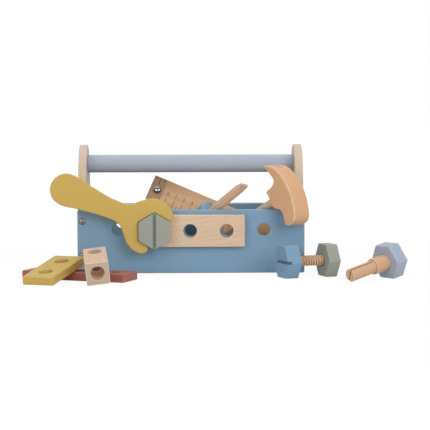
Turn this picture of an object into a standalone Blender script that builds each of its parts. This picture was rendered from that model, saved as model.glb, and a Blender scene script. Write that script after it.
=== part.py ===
"""A wooden toy tool box with its tools and loose building pieces.

Metres, +Z up. The origin is the centre of the underside of the box's floor board,
+X runs along the box to its right end, and the front panel faces -Y.
Every loose piece is placed by what it rests on or leans against.
"""
import math

import bmesh
import bpy
from mathutils import Matrix, Vector

# Clearances and rounding
TOUCH = 0.0003          # gap between pieces that touch
OVERRUN = 0.004         # how far a cut runs past a face
EASED = 0.0010          # rounding of sawn edges
WELD = 0.00001          # merging distance of turned and cut shapes
FINE_ROUND = 2          # segments of a rounded edge

# The box
BOX_LENGTH = 0.250
BOX_DEPTH = 0.120
PANEL_THICKNESS = 0.009
PANEL_HEIGHT = 0.070
PANEL_ROUND = 0.0018
END_THICKNESS = 0.009
FLOOR_THICKNESS = 0.013
BOX_HEIGHT = 0.140
ARCH_RADIUS = 0.036
ARCH_STEPS = 14
PANEL_HOLE = 0.014
HOLE_PITCH = 0.040
HOLE_COUNT = 5
HOLE_HEIGHT = 0.048

# The carrying handle
DOWEL = 0.020
DOWEL_DROP = 0.0215     # from the tops of the ends down to the handle's axis

# Wood screws
SCREW_HEAD = 0.0068
SCREW_HEAD_HEIGHT = 0.0020
SCREW_RECESS = 0.0032
SCREW_RECESS_DEPTH = 0.0009
SCREW_SHANK = 0.0032
SCREW_LENGTH = 0.022
SCREW_INSET = 0.0055
SCREW_SUNK = 0.0016
SCREW_LOW = 0.0195
SCREW_DROP = 0.0125     # from a panel's top edge down to its upper screws
SCREW_STEPS = 14

# Hexagon heads, nuts and the threaded dowels
HEX_FLATS = 0.035
HEAD_THICKNESS = 0.015
NUT_THICKNESS = 0.0136
HEX_ROUND = 0.0012
SLOT_WIDTH = 0.0034
SLOT_DEPTH = 0.0044
THREAD = 0.0115
THREAD_DEPTH = 0.0007
THREAD_PITCH = 0.0030
THREAD_STEPS = 14
THREAD_ROWS = 4
THREAD_LENGTH = 0.046
THREAD_SOCKET = 0.008
NUT_PLAY = 0.0004

# Drilled building strips
STRIP_THICKNESS = 0.009
STRIP_WIDTH = 0.035
STRIP_HOLE = 0.015
STRIP_MARGIN = 0.020
STRIP_SHIFT = 0.0012
STRIP_DROP = 0.0007

# The wrench
WRENCH_THICKNESS = 0.010
WRENCH_JAW = 0.032
WRENCH_WAIST = 0.0205
WRENCH_BULB = 0.0174
WRENCH_REACH = 0.1055
WRENCH_BULB_DROP = 0.0085
WRENCH_ROUND = 0.0012
WRENCH_ANGLE = math.radians(-30)
WRENCH_PLAY = 0.0005

# The folding ruler
RULER_LENGTH = 0.160
RULER_WIDTH = 0.030
RULER_LEG = 0.0045
RULER_TURN = math.radians(10.2)
RULER_LEAN = math.radians(15)
RULER_FROM_END = 0.1575 # from the right end back to where it crosses the back panel's top edge
RULER_OVERHANG = 0.0115
RULER_REBATE = 0.0162
RULER_CORNER_STEPS = 5
RULER_REBATE_DEPTH = 0.0015
RIVET_INSET = 0.0086
RIVET_HEAD = 0.0090
RIVET_DOME = 0.0026
RIVET_SHANK = 0.0040
RIVET_BUTTON = 0.0010

# The screwdriver
DRIVER_SHAFT = 0.0100
DRIVER_HANDLE = 0.0260
DRIVER_REACH = 0.0570
DRIVER_SOCKET = 0.020
DRIVER_PITCH = math.radians(32.5)
DRIVER_HEADING = math.radians(-44)
DRIVER_ROLL = math.radians(-12)
DRIVER_FROM_END = 0.0825    # from the right end back to where it crosses the front panel's top edge
DRIVER_TIP = 0.0024
DRIVER_TAPER = 0.013
DRIVER_ROUND = 0.0030

# The hammer
HAMMER_HANDLE = 0.0100
HAMMER_PITCH = math.radians(28.6)
HAMMER_HEADING = math.radians(131.3)
HAMMER_FACE_TURN = math.radians(45)
HAMMER_FACE_RISE = 0.03
HAMMER_FROM_END = 0.0277    # from the right end back to where it crosses the front panel's top edge
HAMMER_REACH = 0.0276
HAMMER_HALF_LENGTH = 0.035
HAMMER_HALF_DEPTH = 0.017
HAMMER_THICKNESS = 0.0238
HAMMER_AXIS_RISE = 0.0018
HAMMER_SOCKET = 0.020
HAMMER_ROUND = 0.0022
CLAW_WIDTH = 0.0060
CLAW_DEPTH = 0.0090

# The pieces in front of the box
RED_CENTRE_X = -0.1195
RED_CENTRE_Y = -0.1136
RED_HEADING = math.radians(-23.1)
YELLOW_HEADING = math.radians(68.7)
YELLOW_ALONG = 0.0140
YELLOW_FOOT = 0.050
BLOCK_SECTION = 0.0242
BLOCK_LENGTH = 0.0515
BLOCK_CROSS_BORE = 0.013
BLOCK_HEADING = math.radians(94.4)
BLOCK_ALONG = 0.0368
BLOCK_FOOT = 0.0387
LOOSE_BOLT_X = 0.0968
LOOSE_BOLT_Y = -0.1116
LOOSE_BOLT_HEADING = math.radians(19.5)
LOOSE_HEAD_EXTRA = 0.0012          # how much thicker the blue head is than the grey one
LOOSE_NUT_GAP = 0.0319
PEG_FLATS = 0.0358
PEG_X = 0.2055
PEG_Y = -0.1220
PEG_HEADING = math.radians(36.7)
PEG_WIDE = 0.0174
PEG_WIDE_LENGTH = 0.018
PEG_NARROW = 0.0137
PEG_LENGTH = 0.0510
PEG_SPLIT = 0.0018
PEG_SPLIT_TURN = math.radians(-25)
PEG_STEPS = 28

# Colours, roughness and metallic value of the finishes
FINISHES = {
    "blue": ((0.19, 0.31, 0.40), 0.55, 0.0),
    "periwinkle": ((0.44, 0.50, 0.62), 0.55, 0.0),
    "mustard": ((0.58, 0.40, 0.11), 0.55, 0.0),
    "grey": ((0.31, 0.32, 0.27), 0.60, 0.0),
    "red": ((0.39, 0.15, 0.11), 0.60, 0.0),
    "beech": ((0.60, 0.36, 0.20), 0.60, 0.0),
    "maple": ((0.69, 0.50, 0.34), 0.60, 0.0),
    "chrome": ((0.75, 0.76, 0.78), 0.20, 1.0),
    "steel": ((0.25, 0.24, 0.23), 0.40, 0.9),
}

# Outline of the wrench's jaw end, as shares of WRENCH_JAW from the bolt's axis
JAW_BACK_SHARES = ((0.32, 0.77), (0.12, 0.90), (-0.19, 1.00), (-0.55, 0.95), (-0.88, 0.69), (-1.19, 0.37))
JAW_FRONT_SHARES = ((-1.25, -0.375), (-1.06, -0.445), (-0.87, -0.61), (-0.62, -0.82), (-0.26, -0.925),
                    (0.02, -0.86), (0.12, -0.68))
JAW_LONG_SHARE = 0.32
JAW_SHORT_SHARE = 0.045

# Outline of the hammer head: shares of its half length (towards the claw) and half depth (towards the handle)
HAMMER_SHARES = ((1.09, 0.43), (0.92, 0.32), (0.74, 0.195), (0.60, 0.11), (0.50, 0.115), (0.44, 0.23), (0.40, 0.41),
                 (0.372, 0.61), (0.366, 0.90), (0.33, 1.045), (0.18, 1.015), (0.03, 0.98), (-0.125, 0.99),
                 (-0.225, 0.955), (-0.30, 0.82), (-0.365, 0.595), (-0.445, 0.445), (-0.53, 0.395), (-0.645, 0.40),
                 (-0.79, 0.45), (-0.93, 0.48), (-0.99, 0.34), (-1.02, -0.01), (-0.98, -0.375), (-0.865, -0.58),
                 (-0.685, -0.74), (-0.49, -0.845), (-0.255, -0.92), (-0.045, -0.945), (0.165, -0.91),
                 (0.37, -0.82), (0.57, -0.67), (0.76, -0.49), (0.915, -0.24), (1.03, 0.065), (1.095, 0.30))


def clear_scene():
    for leftover in list(bpy.data.objects):
        bpy.data.objects.remove(leftover)


def make_collection(name):
    collection = bpy.data.collections.new(name)
    bpy.context.scene.collection.children.link(collection)
    return collection


clear_scene()
PARTS = make_collection("toy_tool_box")
CUTTERS = make_collection("cutters")


def make_finish(name):
    colour, roughness, metallic = FINISHES[name]
    material = bpy.data.materials.new(name)
    material.use_nodes = True
    shader = material.node_tree.nodes["Principled BSDF"]
    shader.inputs["Base Color"].default_value = (*colour, 1.0)
    shader.inputs["Roughness"].default_value = roughness
    shader.inputs["Metallic"].default_value = metallic
    return material


MATERIALS = {name: make_finish(name) for name in FINISHES}


def frame_from(origin, x_axis, y_axis, z_axis):
    """A placing matrix from an origin and three unit axes."""
    matrix = Matrix((x_axis, y_axis, z_axis)).transposed().to_4x4()
    matrix.translation = origin
    return matrix


def at(x, y, z):
    return Matrix.Translation((x, y, z))


def heading_vector(heading, pitch=0.0):
    """Unit vector that points along a compass heading and climbs by the pitch."""
    flat = math.cos(pitch)
    return Vector((flat * math.cos(heading), flat * math.sin(heading), math.sin(pitch)))


ALONG_Y = Matrix.Rotation(math.radians(-90), 4, "X")      # local Z turned to world +Y
AGAINST_Y = Matrix.Rotation(math.radians(90), 4, "X")     # local Z turned to world -Y
ALONG_X = Matrix.Rotation(math.radians(90), 4, "Y")       # local Z turned to world +X
AGAINST_X = Matrix.Rotation(math.radians(-90), 4, "Y")    # local Z turned to world -X


def add_object(name, mesh, matrix, finish=None, parent=None):
    body = bpy.data.objects.new(name, mesh)
    if finish:
        mesh.materials.append(MATERIALS[finish])
        PARTS.objects.link(body)
    else:
        CUTTERS.objects.link(body)
        body.hide_render = True
        body.display_type = "WIRE"
    body.matrix_world = matrix
    if parent:
        body.parent = parent
        body.matrix_parent_inverse = parent.matrix_world.inverted()
    return body


def joint_empty(name, matrix):
    """An empty that marks a joint's axis, for the pieces that move on it."""
    empty = bpy.data.objects.new(name, None)
    PARTS.objects.link(empty)
    empty.matrix_world = matrix
    bpy.context.view_layer.update()
    return empty


def mesh_from(name, build):
    bm = bmesh.new()
    build(bm)
    mesh = bpy.data.meshes.new(name)
    bm.to_mesh(mesh)
    bm.free()
    return mesh


def box_mesh(name, low, high):
    size = Vector(high) - Vector(low)
    middle = (Vector(high) + Vector(low)) / 2

    def build(bm):
        bmesh.ops.create_cube(bm, size=1)
        bmesh.ops.scale(bm, vec=size, verts=bm.verts)
        bmesh.ops.translate(bm, vec=middle, verts=bm.verts)
    return mesh_from(name, build)


def prism_mesh(name, radius, low, high, steps):
    """A cylinder, or a hexagon with flats at +-X, from low to high on local Z."""
    def build(bm):
        bmesh.ops.create_cone(bm, cap_ends=True, segments=steps, radius1=radius, radius2=radius, depth=high - low)
        bmesh.ops.translate(bm, vec=(0, 0, (low + high) / 2), verts=bm.verts)
    return mesh_from(name, build)


def round_edges(body, width, segments=FINE_ROUND, angle=35):
    bevel = body.modifiers.new("rounded", "BEVEL")
    bevel.width = width
    bevel.segments = segments
    bevel.limit_method = "ANGLE"
    bevel.angle_limit = math.radians(angle)
    bevel.use_clamp_overlap = True
    return body


def cut(body, cutter):
    boolean = body.modifiers.new(cutter.name, "BOOLEAN")
    boolean.operation = "DIFFERENCE"
    boolean.solver = "EXACT"
    boolean.object = cutter


def smooth(body, angle=40):
    body.data.shade_smooth()
    body.data.set_sharp_from_angle(angle=math.radians(angle))
    return body


def turned(name, profile, matrix, steps, finish=None, parent=None):
    """A turned piece: a profile of (radius, height) points, top to bottom, spun about local Z."""
    mesh = bpy.data.meshes.new(name)
    points = [(radius, 0, height) for radius, height in profile]
    mesh.from_pydata(points, [(i, i + 1) for i in range(len(points) - 1)], [])
    body = add_object(name, mesh, matrix, finish, parent)
    screw = body.modifiers.new("turned", "SCREW")
    screw.axis = "Z"
    screw.steps = steps
    screw.render_steps = steps
    screw.use_merge_vertices = True
    screw.merge_threshold = WELD
    screw.use_smooth_shade = True
    return body


def drill(body, matrix, diameter, low, high, steps=24, flare=0.0):
    """Cut a round hole along local Z from low to high, with its mouths flared."""
    radius = diameter / 2
    if flare:
        reach = OVERRUN + flare
        profile = ((0, high + OVERRUN), (radius + reach, high + OVERRUN), (radius, high - flare),
                   (radius, low + flare), (radius + reach, low - OVERRUN), (0, low - OVERRUN))
    else:
        profile = ((0, high), (radius, high), (radius, low), (0, low))
    cutter = turned("hole_in_" + body.name, profile, matrix, steps)
    cut(body, cutter)


def flat_outline(name, points, thickness):
    """A flat piece from a closed outline of (x, y, sharp) points, centred on local Z."""
    curve = bpy.data.curves.new(name, "CURVE")
    curve.dimensions = "2D"
    curve.fill_mode = "BOTH"
    curve.extrude = thickness / 2
    curve.resolution_u = 3
    spline = curve.splines.new("BEZIER")
    spline.bezier_points.add(len(points) - 1)
    spline.use_cyclic_u = True
    for bezier, (x, y, sharp) in zip(spline.bezier_points, points):
        bezier.co = (x, y, 0)
        handle = "VECTOR" if sharp else "AUTO"
        bezier.handle_left_type = handle
        bezier.handle_right_type = handle
    guide = bpy.data.objects.new(name + "_outline", curve)
    CUTTERS.objects.link(guide)
    bpy.context.view_layer.update()
    evaluated = guide.evaluated_get(bpy.context.evaluated_depsgraph_get())
    mesh = bpy.data.meshes.new_from_object(evaluated)
    bpy.data.objects.remove(guide)

    def weld(bm):
        bm.from_mesh(mesh)
        bmesh.ops.remove_doubles(bm, verts=bm.verts, dist=WELD)
        bmesh.ops.dissolve_limit(bm, angle_limit=math.radians(1), verts=bm.verts, edges=bm.edges)
        bmesh.ops.recalc_face_normals(bm, faces=bm.faces)
    return mesh_from(name, weld)


def polygon_piece(name, points, thickness):
    """A flat piece from a closed polygon of (x, y) points, centred on local Z."""
    return flat_outline(name, [(x, y, True) for x, y in points], thickness)


# Places that several pieces share
HALF_LENGTH = BOX_LENGTH / 2
FRONT_FACE = -BOX_DEPTH / 2
FRONT_INSIDE = FRONT_FACE + PANEL_THICKNESS
BACK_INSIDE = -FRONT_INSIDE
END_INSIDE = HALF_LENGTH - END_THICKNESS
END_MIDDLE = HALF_LENGTH - END_THICKNESS / 2
DOWEL_HEIGHT = BOX_HEIGHT - DOWEL_DROP
SCREW_HIGH = PANEL_HEIGHT - SCREW_DROP
HEX_RADIUS = HEX_FLATS / math.sqrt(3)
HOLE_PLACES = [HOLE_PITCH * (i - (HOLE_COUNT - 1) / 2) for i in range(HOLE_COUNT)]
HOLE_FLARE = EASED / 2


def make_screw(name, matrix):
    """A wood screw whose head's underside is at local Z 0 and whose shank runs down."""
    head = SCREW_HEAD / 2
    shank = SCREW_SHANK / 2
    recess = SCREW_RECESS / 2
    crown = SCREW_HEAD_HEIGHT + TOUCH
    profile = ((0, crown - SCREW_RECESS_DEPTH), (recess / 2, crown - SCREW_RECESS_DEPTH), (recess, crown),
               (head * 0.75, crown), (head, SCREW_HEAD_HEIGHT / 2 + TOUCH), (head, TOUCH), (shank, TOUCH),
               (shank, TOUCH - SCREW_LENGTH + SCREW_SHANK), (0, TOUCH - SCREW_LENGTH))
    return smooth(turned(name, profile, matrix, SCREW_STEPS, "steel"))


def drive_screw(name, place, outer, inner):
    """A screw through the outer piece into the inner one, its head sunk in the outer piece's face."""
    seat = place @ at(0, 0, -SCREW_SUNK)
    drill(outer, seat, SCREW_HEAD + 2 * TOUCH, 0, OVERRUN, SCREW_STEPS)
    for body in (outer, inner):
        drill(body, seat, SCREW_SHANK + 2 * TOUCH, -SCREW_LENGTH - SCREW_SHANK / 2, OVERRUN, SCREW_STEPS)
    make_screw(name, seat)


def make_panels():
    """The floor board and the two long panels with their five holes."""
    floor = add_object("floor_board", box_mesh(
        "floor_board",
        (-END_INSIDE + TOUCH, FRONT_INSIDE + TOUCH, 0),
        (END_INSIDE - TOUCH, BACK_INSIDE - TOUCH, FLOOR_THICKNESS)), Matrix(), "maple")
    round_edges(floor, EASED / 2, 1)
    panels = []
    for name, inside in (("front_panel", FRONT_INSIDE), ("back_panel", BACK_INSIDE)):
        outside = math.copysign(BOX_DEPTH / 2, inside)
        mesh = box_mesh(name, (-HALF_LENGTH, min(inside, outside), 0),
                        (HALF_LENGTH, max(inside, outside), PANEL_HEIGHT))
        panel = add_object(name, mesh, Matrix(), "blue")
        round_edges(panel, PANEL_ROUND)
        for x in HOLE_PLACES:
            drill(panel, at(x, min(inside, outside), HOLE_HEIGHT) @ ALONG_Y, PANEL_HOLE, 0, PANEL_THICKNESS,
                  flare=HOLE_FLARE)
        panels.append(panel)
    return panels


def end_outline():
    """Half-depth and height points of an end panel: straight sides, a taper and a round top."""
    half = BACK_INSIDE - TOUCH
    centre = BOX_HEIGHT - ARCH_RADIUS
    reach = math.hypot(half, centre - PANEL_HEIGHT)
    start = math.acos(ARCH_RADIUS / reach) - math.atan2(centre - PANEL_HEIGHT, half)
    arc = [start + (math.pi - 2 * start) * i / ARCH_STEPS for i in range(ARCH_STEPS + 1)]
    points = [(-half, 0), (half, 0), (half, PANEL_HEIGHT)]
    points += [(ARCH_RADIUS * math.cos(a), centre + ARCH_RADIUS * math.sin(a)) for a in arc]
    points.append((-half, PANEL_HEIGHT))
    return points


def make_ends():
    ends = []
    for name, side in (("left_end_panel", -1), ("right_end_panel", 1)):
        stand_up = frame_from((side * END_MIDDLE, 0, 0), (0, 1, 0), (0, 0, 1), (1, 0, 0))
        end = add_object(name, polygon_piece(name, end_outline(), END_THICKNESS), stand_up, "maple")
        ends.append(round_edges(end, EASED))
    return ends


def make_handle():
    """The round handle between the two end panels."""
    half = END_INSIDE - TOUCH
    place = at(0, 0, DOWEL_HEIGHT) @ ALONG_X
    handle = add_object("carry_handle", prism_mesh("carry_handle", DOWEL / 2, -half, half, 32), place, "periwinkle")
    return smooth(handle)


def make_box():
    panels = make_panels()
    ends = make_ends()
    handle = make_handle()
    for panel, label, outward in ((panels[0], "front", AGAINST_Y), (panels[1], "back", ALONG_Y)):
        side = -1 if label == "front" else 1
        for end, end_label, x in ((ends[0], "left", SCREW_INSET - HALF_LENGTH),
                                  (ends[1], "right", HALF_LENGTH - SCREW_INSET)):
            for level, z in (("lower", SCREW_LOW), ("upper", SCREW_HIGH)):
                place = at(x, side * BOX_DEPTH / 2, z) @ outward
                drive_screw(f"{label}_{end_label}_{level}_screw", place, panel, end)
    for end, label, outward, side in ((ends[0], "left", AGAINST_X, -1), (ends[1], "right", ALONG_X, 1)):
        place = at(side * HALF_LENGTH, 0, DOWEL_HEIGHT) @ outward
        drive_screw(f"{label}_handle_screw", place, end, handle)


def make_head(name, matrix, finish, parent, flats=HEX_FLATS, slotted=True, extra=0):
    """A hexagon head with flats at local +-X and its inner face at its thickness.

    Its outer face is at local Z 0, or further out where the head is thicker by an extra.
    """
    radius = flats / math.sqrt(3)
    mesh = prism_mesh(name, radius, -extra, HEAD_THICKNESS, 6)
    head = add_object(name, mesh, matrix, finish, parent)
    round_edges(head, HEX_ROUND)
    if slotted:
        half = SLOT_WIDTH / 2
        slot = add_object("slot_in_" + name, box_mesh(
            "slot", (-half, -radius - OVERRUN, -extra - OVERRUN), (half, radius + OVERRUN, SLOT_DEPTH - extra)), matrix)
        cut(head, slot)
    return head


def make_threaded_dowel(name, matrix, parent):
    """A dowel with a helical thread; local Z 0 is the head's outer face, which the dowel stops short of."""
    start = HEAD_THICKNESS - THREAD_SOCKET
    length = THREAD_LENGTH + THREAD_SOCKET
    rows = round(length / THREAD_PITCH * THREAD_ROWS)
    socket_top = HEAD_THICKNESS + TOUCH

    def build(bm):
        bmesh.ops.create_cone(bm, cap_ends=True, segments=THREAD_STEPS, radius1=THREAD / 2, radius2=THREAD / 2,
                              depth=length)
        sides = [edge for edge in bm.edges if abs(edge.verts[0].co.z - edge.verts[1].co.z) > length / 2]
        bmesh.ops.subdivide_edges(bm, edges=sides, cuts=rows - 1, use_grid_fill=True)
        bmesh.ops.translate(bm, vec=(0, 0, start + length / 2), verts=bm.verts)
        for vert in bm.verts:
            height = vert.co.z
            phase = (height / THREAD_PITCH - math.atan2(vert.co.y, vert.co.x) / math.tau) % 1
            groove = 1 - abs(2 * phase - 1)
            if height < socket_top or height > start + length - THREAD_PITCH / 2:
                groove = 1
            vert.co.xy *= 1 - groove * 2 * THREAD_DEPTH / THREAD
    return smooth(add_object(name, mesh_from(name, build), matrix, "beech", parent), 60)


def make_bolt(prefix, matrix, finish, parent, extra=0):
    """A slotted hexagon head with a threaded dowel glued in its socket."""
    head = make_head(prefix + "_head", matrix, finish, parent, extra=extra)
    drill(head, matrix, THREAD, HEAD_THICKNESS - THREAD_SOCKET - TOUCH, HEAD_THICKNESS + OVERRUN)
    make_threaded_dowel(prefix + "_shank", matrix, parent)


def make_nut(name, matrix, finish, parent):
    """A hexagon nut from local Z 0 to its thickness, with a smooth running bore."""
    mesh = prism_mesh(name, HEX_RADIUS, 0, NUT_THICKNESS, 6)
    nut = add_object(name, mesh, matrix, finish, parent)
    round_edges(nut, HEX_ROUND)
    drill(nut, matrix, THREAD + 2 * NUT_PLAY, 0, NUT_THICKNESS, flare=HOLE_FLARE)


def make_strip(name, matrix, hole_count, finish, parent=None):
    """A drilled strip: local X along it from the first hole, Y across, Z 0 its underside."""
    length = (hole_count - 1) * HOLE_PITCH
    half = STRIP_WIDTH / 2
    mesh = box_mesh(name, (-STRIP_MARGIN, -half, 0), (length + STRIP_MARGIN, half, STRIP_THICKNESS))
    strip = add_object(name, mesh, matrix, finish, parent)
    round_edges(strip, EASED)
    for i in range(hole_count):
        drill(strip, matrix @ at(i * HOLE_PITCH, 0, 0), STRIP_HOLE, 0, STRIP_THICKNESS, flare=HOLE_FLARE)
    return strip


def make_wrench(matrix, parent):
    """An open wrench round the bolt head: local X out of the jaw, Z 0 its back face."""
    jaw = HEX_FLATS / 2 + WRENCH_PLAY
    corner = jaw * 2 / math.sqrt(3)
    waist = WRENCH_WAIST / 2
    bulb_x, bulb_y = -WRENCH_REACH, -WRENCH_BULB_DROP
    points = [(JAW_LONG_SHARE * WRENCH_JAW, jaw, True)]
    points += [(u * WRENCH_JAW, v * WRENCH_JAW, False) for u, v in JAW_BACK_SHARES]
    points.append((-WRENCH_REACH / 2, waist * 0.80, False))
    points.append((-WRENCH_REACH * 0.80, waist * 0.79, False))
    for degrees in (97, 130, 165, 200, 235, 265):
        angle = math.radians(degrees)
        points.append((bulb_x + WRENCH_BULB * math.cos(angle), bulb_y + WRENCH_BULB * math.sin(angle), False))
    points.append((-WRENCH_REACH * 0.78, -waist * 1.95, False))
    points.append((-WRENCH_REACH * 0.52, -waist * 1.31, False))
    points += [(u * WRENCH_JAW, v * WRENCH_JAW, False) for u, v in JAW_FRONT_SHARES]
    points.append((JAW_SHORT_SHARE * WRENCH_JAW, -jaw, True))
    points.append((-corner / 2, -jaw, True))
    points.append((-corner, 0, True))
    points.append((-corner / 2, jaw, True))
    place = matrix @ Matrix.Rotation(WRENCH_ANGLE, 4, "Z") @ at(0, 0, WRENCH_THICKNESS / 2)
    mesh = flat_outline("wrench", points, WRENCH_THICKNESS)
    wrench = add_object("wrench", mesh, place, "mustard", parent)
    return round_edges(wrench, WRENCH_ROUND, angle=50)


def make_front_work():
    """The bolt through the front panel, its nut, the strip that hangs on it and the wrench."""
    strip_back = FRONT_FACE - TOUCH
    strip_front = strip_back - STRIP_THICKNESS
    head_back = strip_front - TOUCH
    bolt_x = HOLE_PLACES[1]
    # Seen from the front: local X to the right, local Y up, local Z towards the viewer
    faces_viewer = frame_from((0, 0, 0), (1, 0, 0), (0, 0, 1), (0, -1, 0))
    axis = joint_empty("panel_bolt_axis", at(bolt_x, head_back, HOLE_HEIGHT) @ faces_viewer)
    into_panel = at(bolt_x, head_back - HEAD_THICKNESS, HOLE_HEIGHT) @ ALONG_Y
    make_bolt("panel_bolt", into_panel, "grey", axis)
    make_nut("panel_nut", at(bolt_x, FRONT_INSIDE + TOUCH, HOLE_HEIGHT) @ ALONG_Y, "grey", axis)
    strip_axis = joint_empty("bolted_strip_axis", at(bolt_x, strip_back, HOLE_HEIGHT) @ faces_viewer)
    strip_place = at(bolt_x - STRIP_SHIFT, strip_back, HOLE_HEIGHT - STRIP_DROP) @ faces_viewer
    make_strip("bolted_strip", strip_place, 3, "maple", strip_axis)
    make_wrench(at(bolt_x, head_back, HOLE_HEIGHT) @ faces_viewer, axis)


def ruler_frame():
    """Local X along the ruler to its low right end, Y away from the viewer, Z across it; the origin is
    the lower rear corner of its left end, and the lower rear edge crosses the back panel's top edge."""
    nip = PANEL_ROUND * (1 - math.sqrt(0.5))
    edge = Vector((END_INSIDE - RULER_FROM_END, BACK_INSIDE + nip, PANEL_HEIGHT + TOUCH - nip))
    drop = PANEL_HEIGHT - nip - FLOOR_THICKNESS
    slope = math.asin(drop / (RULER_LENGTH - RULER_OVERHANG))
    along = heading_vector(-RULER_TURN, -slope)
    level_back = Vector((math.sin(RULER_TURN), math.cos(RULER_TURN), 0))
    upright = along.cross(level_back)
    across = math.cos(RULER_LEAN) * upright + math.sin(RULER_LEAN) * level_back
    away = across.cross(along)
    return frame_from(edge - RULER_OVERHANG * along, along, away, across)


def make_ruler():
    """Two legs that fold on a rivet; the front leg has a rebate round the rivet's head."""
    place = ruler_frame()
    front_back = -RULER_LEG - TOUCH
    front_face = front_back - RULER_LEG
    rebate_face = front_face + RULER_REBATE_DEPTH
    pull = joint_empty("ruler_pull_axis", place)
    rivet_place = place @ at(RIVET_INSET, 0, RULER_WIDTH / 2)
    fold = joint_empty("ruler_fold_axis", rivet_place)
    # The rear leg's corners at the rivet are rounded off so that it can swing over the back panel
    half = RULER_WIDTH / 2
    start = math.acos(RIVET_INSET / half)
    swing = [start + (math.pi / 2 - start) * i / RULER_CORNER_STEPS for i in range(RULER_CORNER_STEPS + 1)]
    upper = [(RIVET_INSET - half * math.cos(a), half + half * math.sin(a)) for a in swing]
    lower = [(x, RULER_WIDTH - z) for x, z in upper]
    outline = [(RULER_LENGTH, 0), (RULER_LENGTH, RULER_WIDTH)] + upper[::-1] + lower
    flat = place @ frame_from((0, -RULER_LEG / 2, 0), (1, 0, 0), (0, 0, 1), (0, -1, 0))
    rear = add_object("ruler_rear_leg", polygon_piece("ruler_rear_leg", outline, RULER_LEG), flat, "beech", fold)
    round_edges(rear, EASED)
    front = add_object("ruler_front_leg", box_mesh(
        "ruler_front_leg", (0, front_face, 0), (RULER_LENGTH, front_back, RULER_WIDTH)), place, "beech", pull)
    round_edges(front, EASED)
    rebate = add_object("rebate", box_mesh(
        "rebate", (-OVERRUN, front_face - OVERRUN, -OVERRUN),
        (RULER_REBATE, rebate_face, RULER_WIDTH + OVERRUN)), place)
    cut(front, rebate)
    # The rivet's local Z points at the viewer and 0 is the rear leg's back face
    rivet_axis = rivet_place @ AGAINST_Y
    for leg in (rear, front):
        drill(leg, rivet_axis, RIVET_SHANK + 2 * TOUCH, -OVERRUN, -front_face + OVERRUN)
    shank = RIVET_SHANK / 2
    head = RIVET_HEAD / 2
    seat = -rebate_face + TOUCH
    dome = [(head * math.sin(a), seat + RIVET_DOME * (0.25 + 0.75 * math.cos(a)))
            for a in [math.radians(18 * i) for i in range(6)]]
    profile = dome + [(head, seat), (shank, seat), (shank, -TOUCH), (head * 0.8, -TOUCH),
                      (head * 0.8, -TOUCH - RIVET_BUTTON), (0, -TOUCH - RIVET_BUTTON)]
    smooth(turned("ruler_rivet", profile, rivet_axis, 20, "chrome", pull))


def tool_frame(origin, upward):
    """Local Z along a tool's axis, X level and square to it."""
    level = Vector((0, 0, 1)).cross(upward).normalized()
    return frame_from(origin, level, upward.cross(level), upward)


def axis_over_panel(x, direction, radius):
    """Where a round bar's axis crosses the front panel's inner face when it lies on the rounded top edge."""
    rise = abs(direction.z / direction.y)
    clear = (radius + PANEL_ROUND + TOUCH) * math.hypot(1, rise)
    return Vector((x, FRONT_INSIDE, PANEL_HEIGHT - PANEL_ROUND + clear - rise * PANEL_ROUND))


def make_screwdriver():
    """Leans on the front panel's top edge; the handle's rim lies against the panel and its end on the floor."""
    upward = heading_vector(DRIVER_HEADING, DRIVER_PITCH)
    shaft = DRIVER_SHAFT / 2
    handle = DRIVER_HANDLE / 2
    crossing = axis_over_panel(END_INSIDE - DRIVER_FROM_END, upward, shaft)
    bulge = DRIVER_ROUND
    rim_reach = (handle - bulge) * math.sqrt(1 - upward.y ** 2) + bulge
    below = (rim_reach + TOUCH) / abs(upward.y) - bulge
    shoulder = crossing - below * upward
    rim_drop = (handle - bulge) * math.sqrt(1 - upward.z ** 2) + bulge
    length = (shoulder.z - rim_drop - FLOOR_THICKNESS - TOUCH) / upward.z + bulge
    place = tool_frame(shoulder, upward) @ Matrix.Rotation(DRIVER_ROLL, 4, "Z")
    lift = joint_empty("screwdriver_axis", place)
    corner = [(handle - bulge + bulge * math.sin(a), bulge * math.cos(a) - bulge)
              for a in [math.radians(22.5 * i) for i in range(5)]]
    profile = [(0, 0)] + corner + [(radius, -length - z) for radius, z in reversed(corner)] + [(0, -length)]
    grip = turned("screwdriver_handle", profile, place, 28, "blue", lift)
    drill(grip, place, DRIVER_SHAFT + 2 * TOUCH, -DRIVER_SOCKET - TOUCH, OVERRUN)
    smooth(grip)
    blade = add_object("screwdriver_shaft", prism_mesh(
        "screwdriver_shaft", shaft, -DRIVER_SOCKET, DRIVER_REACH, 24), place, "beech", lift)
    # Each wedge cutter's flat side runs from the shaft's surface to the edge of the flat tip
    slant = math.atan2(shaft - DRIVER_TIP / 2, DRIVER_TAPER)
    for name, side in (("upper_bevel", 1), ("lower_bevel", -1)):
        tip = at(0, side * DRIVER_TIP / 2, DRIVER_REACH) @ Matrix.Rotation(side * slant, 4, "X")
        low, high = (0, DRIVER_SHAFT) if side > 0 else (-DRIVER_SHAFT, 0)
        cutter = add_object(name, box_mesh(
            name, (-DRIVER_SHAFT, low, -DRIVER_TAPER - DRIVER_SHAFT), (DRIVER_SHAFT, high, OVERRUN)), place @ tip)
        cut(blade, cutter)
    smooth(blade)


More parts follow.
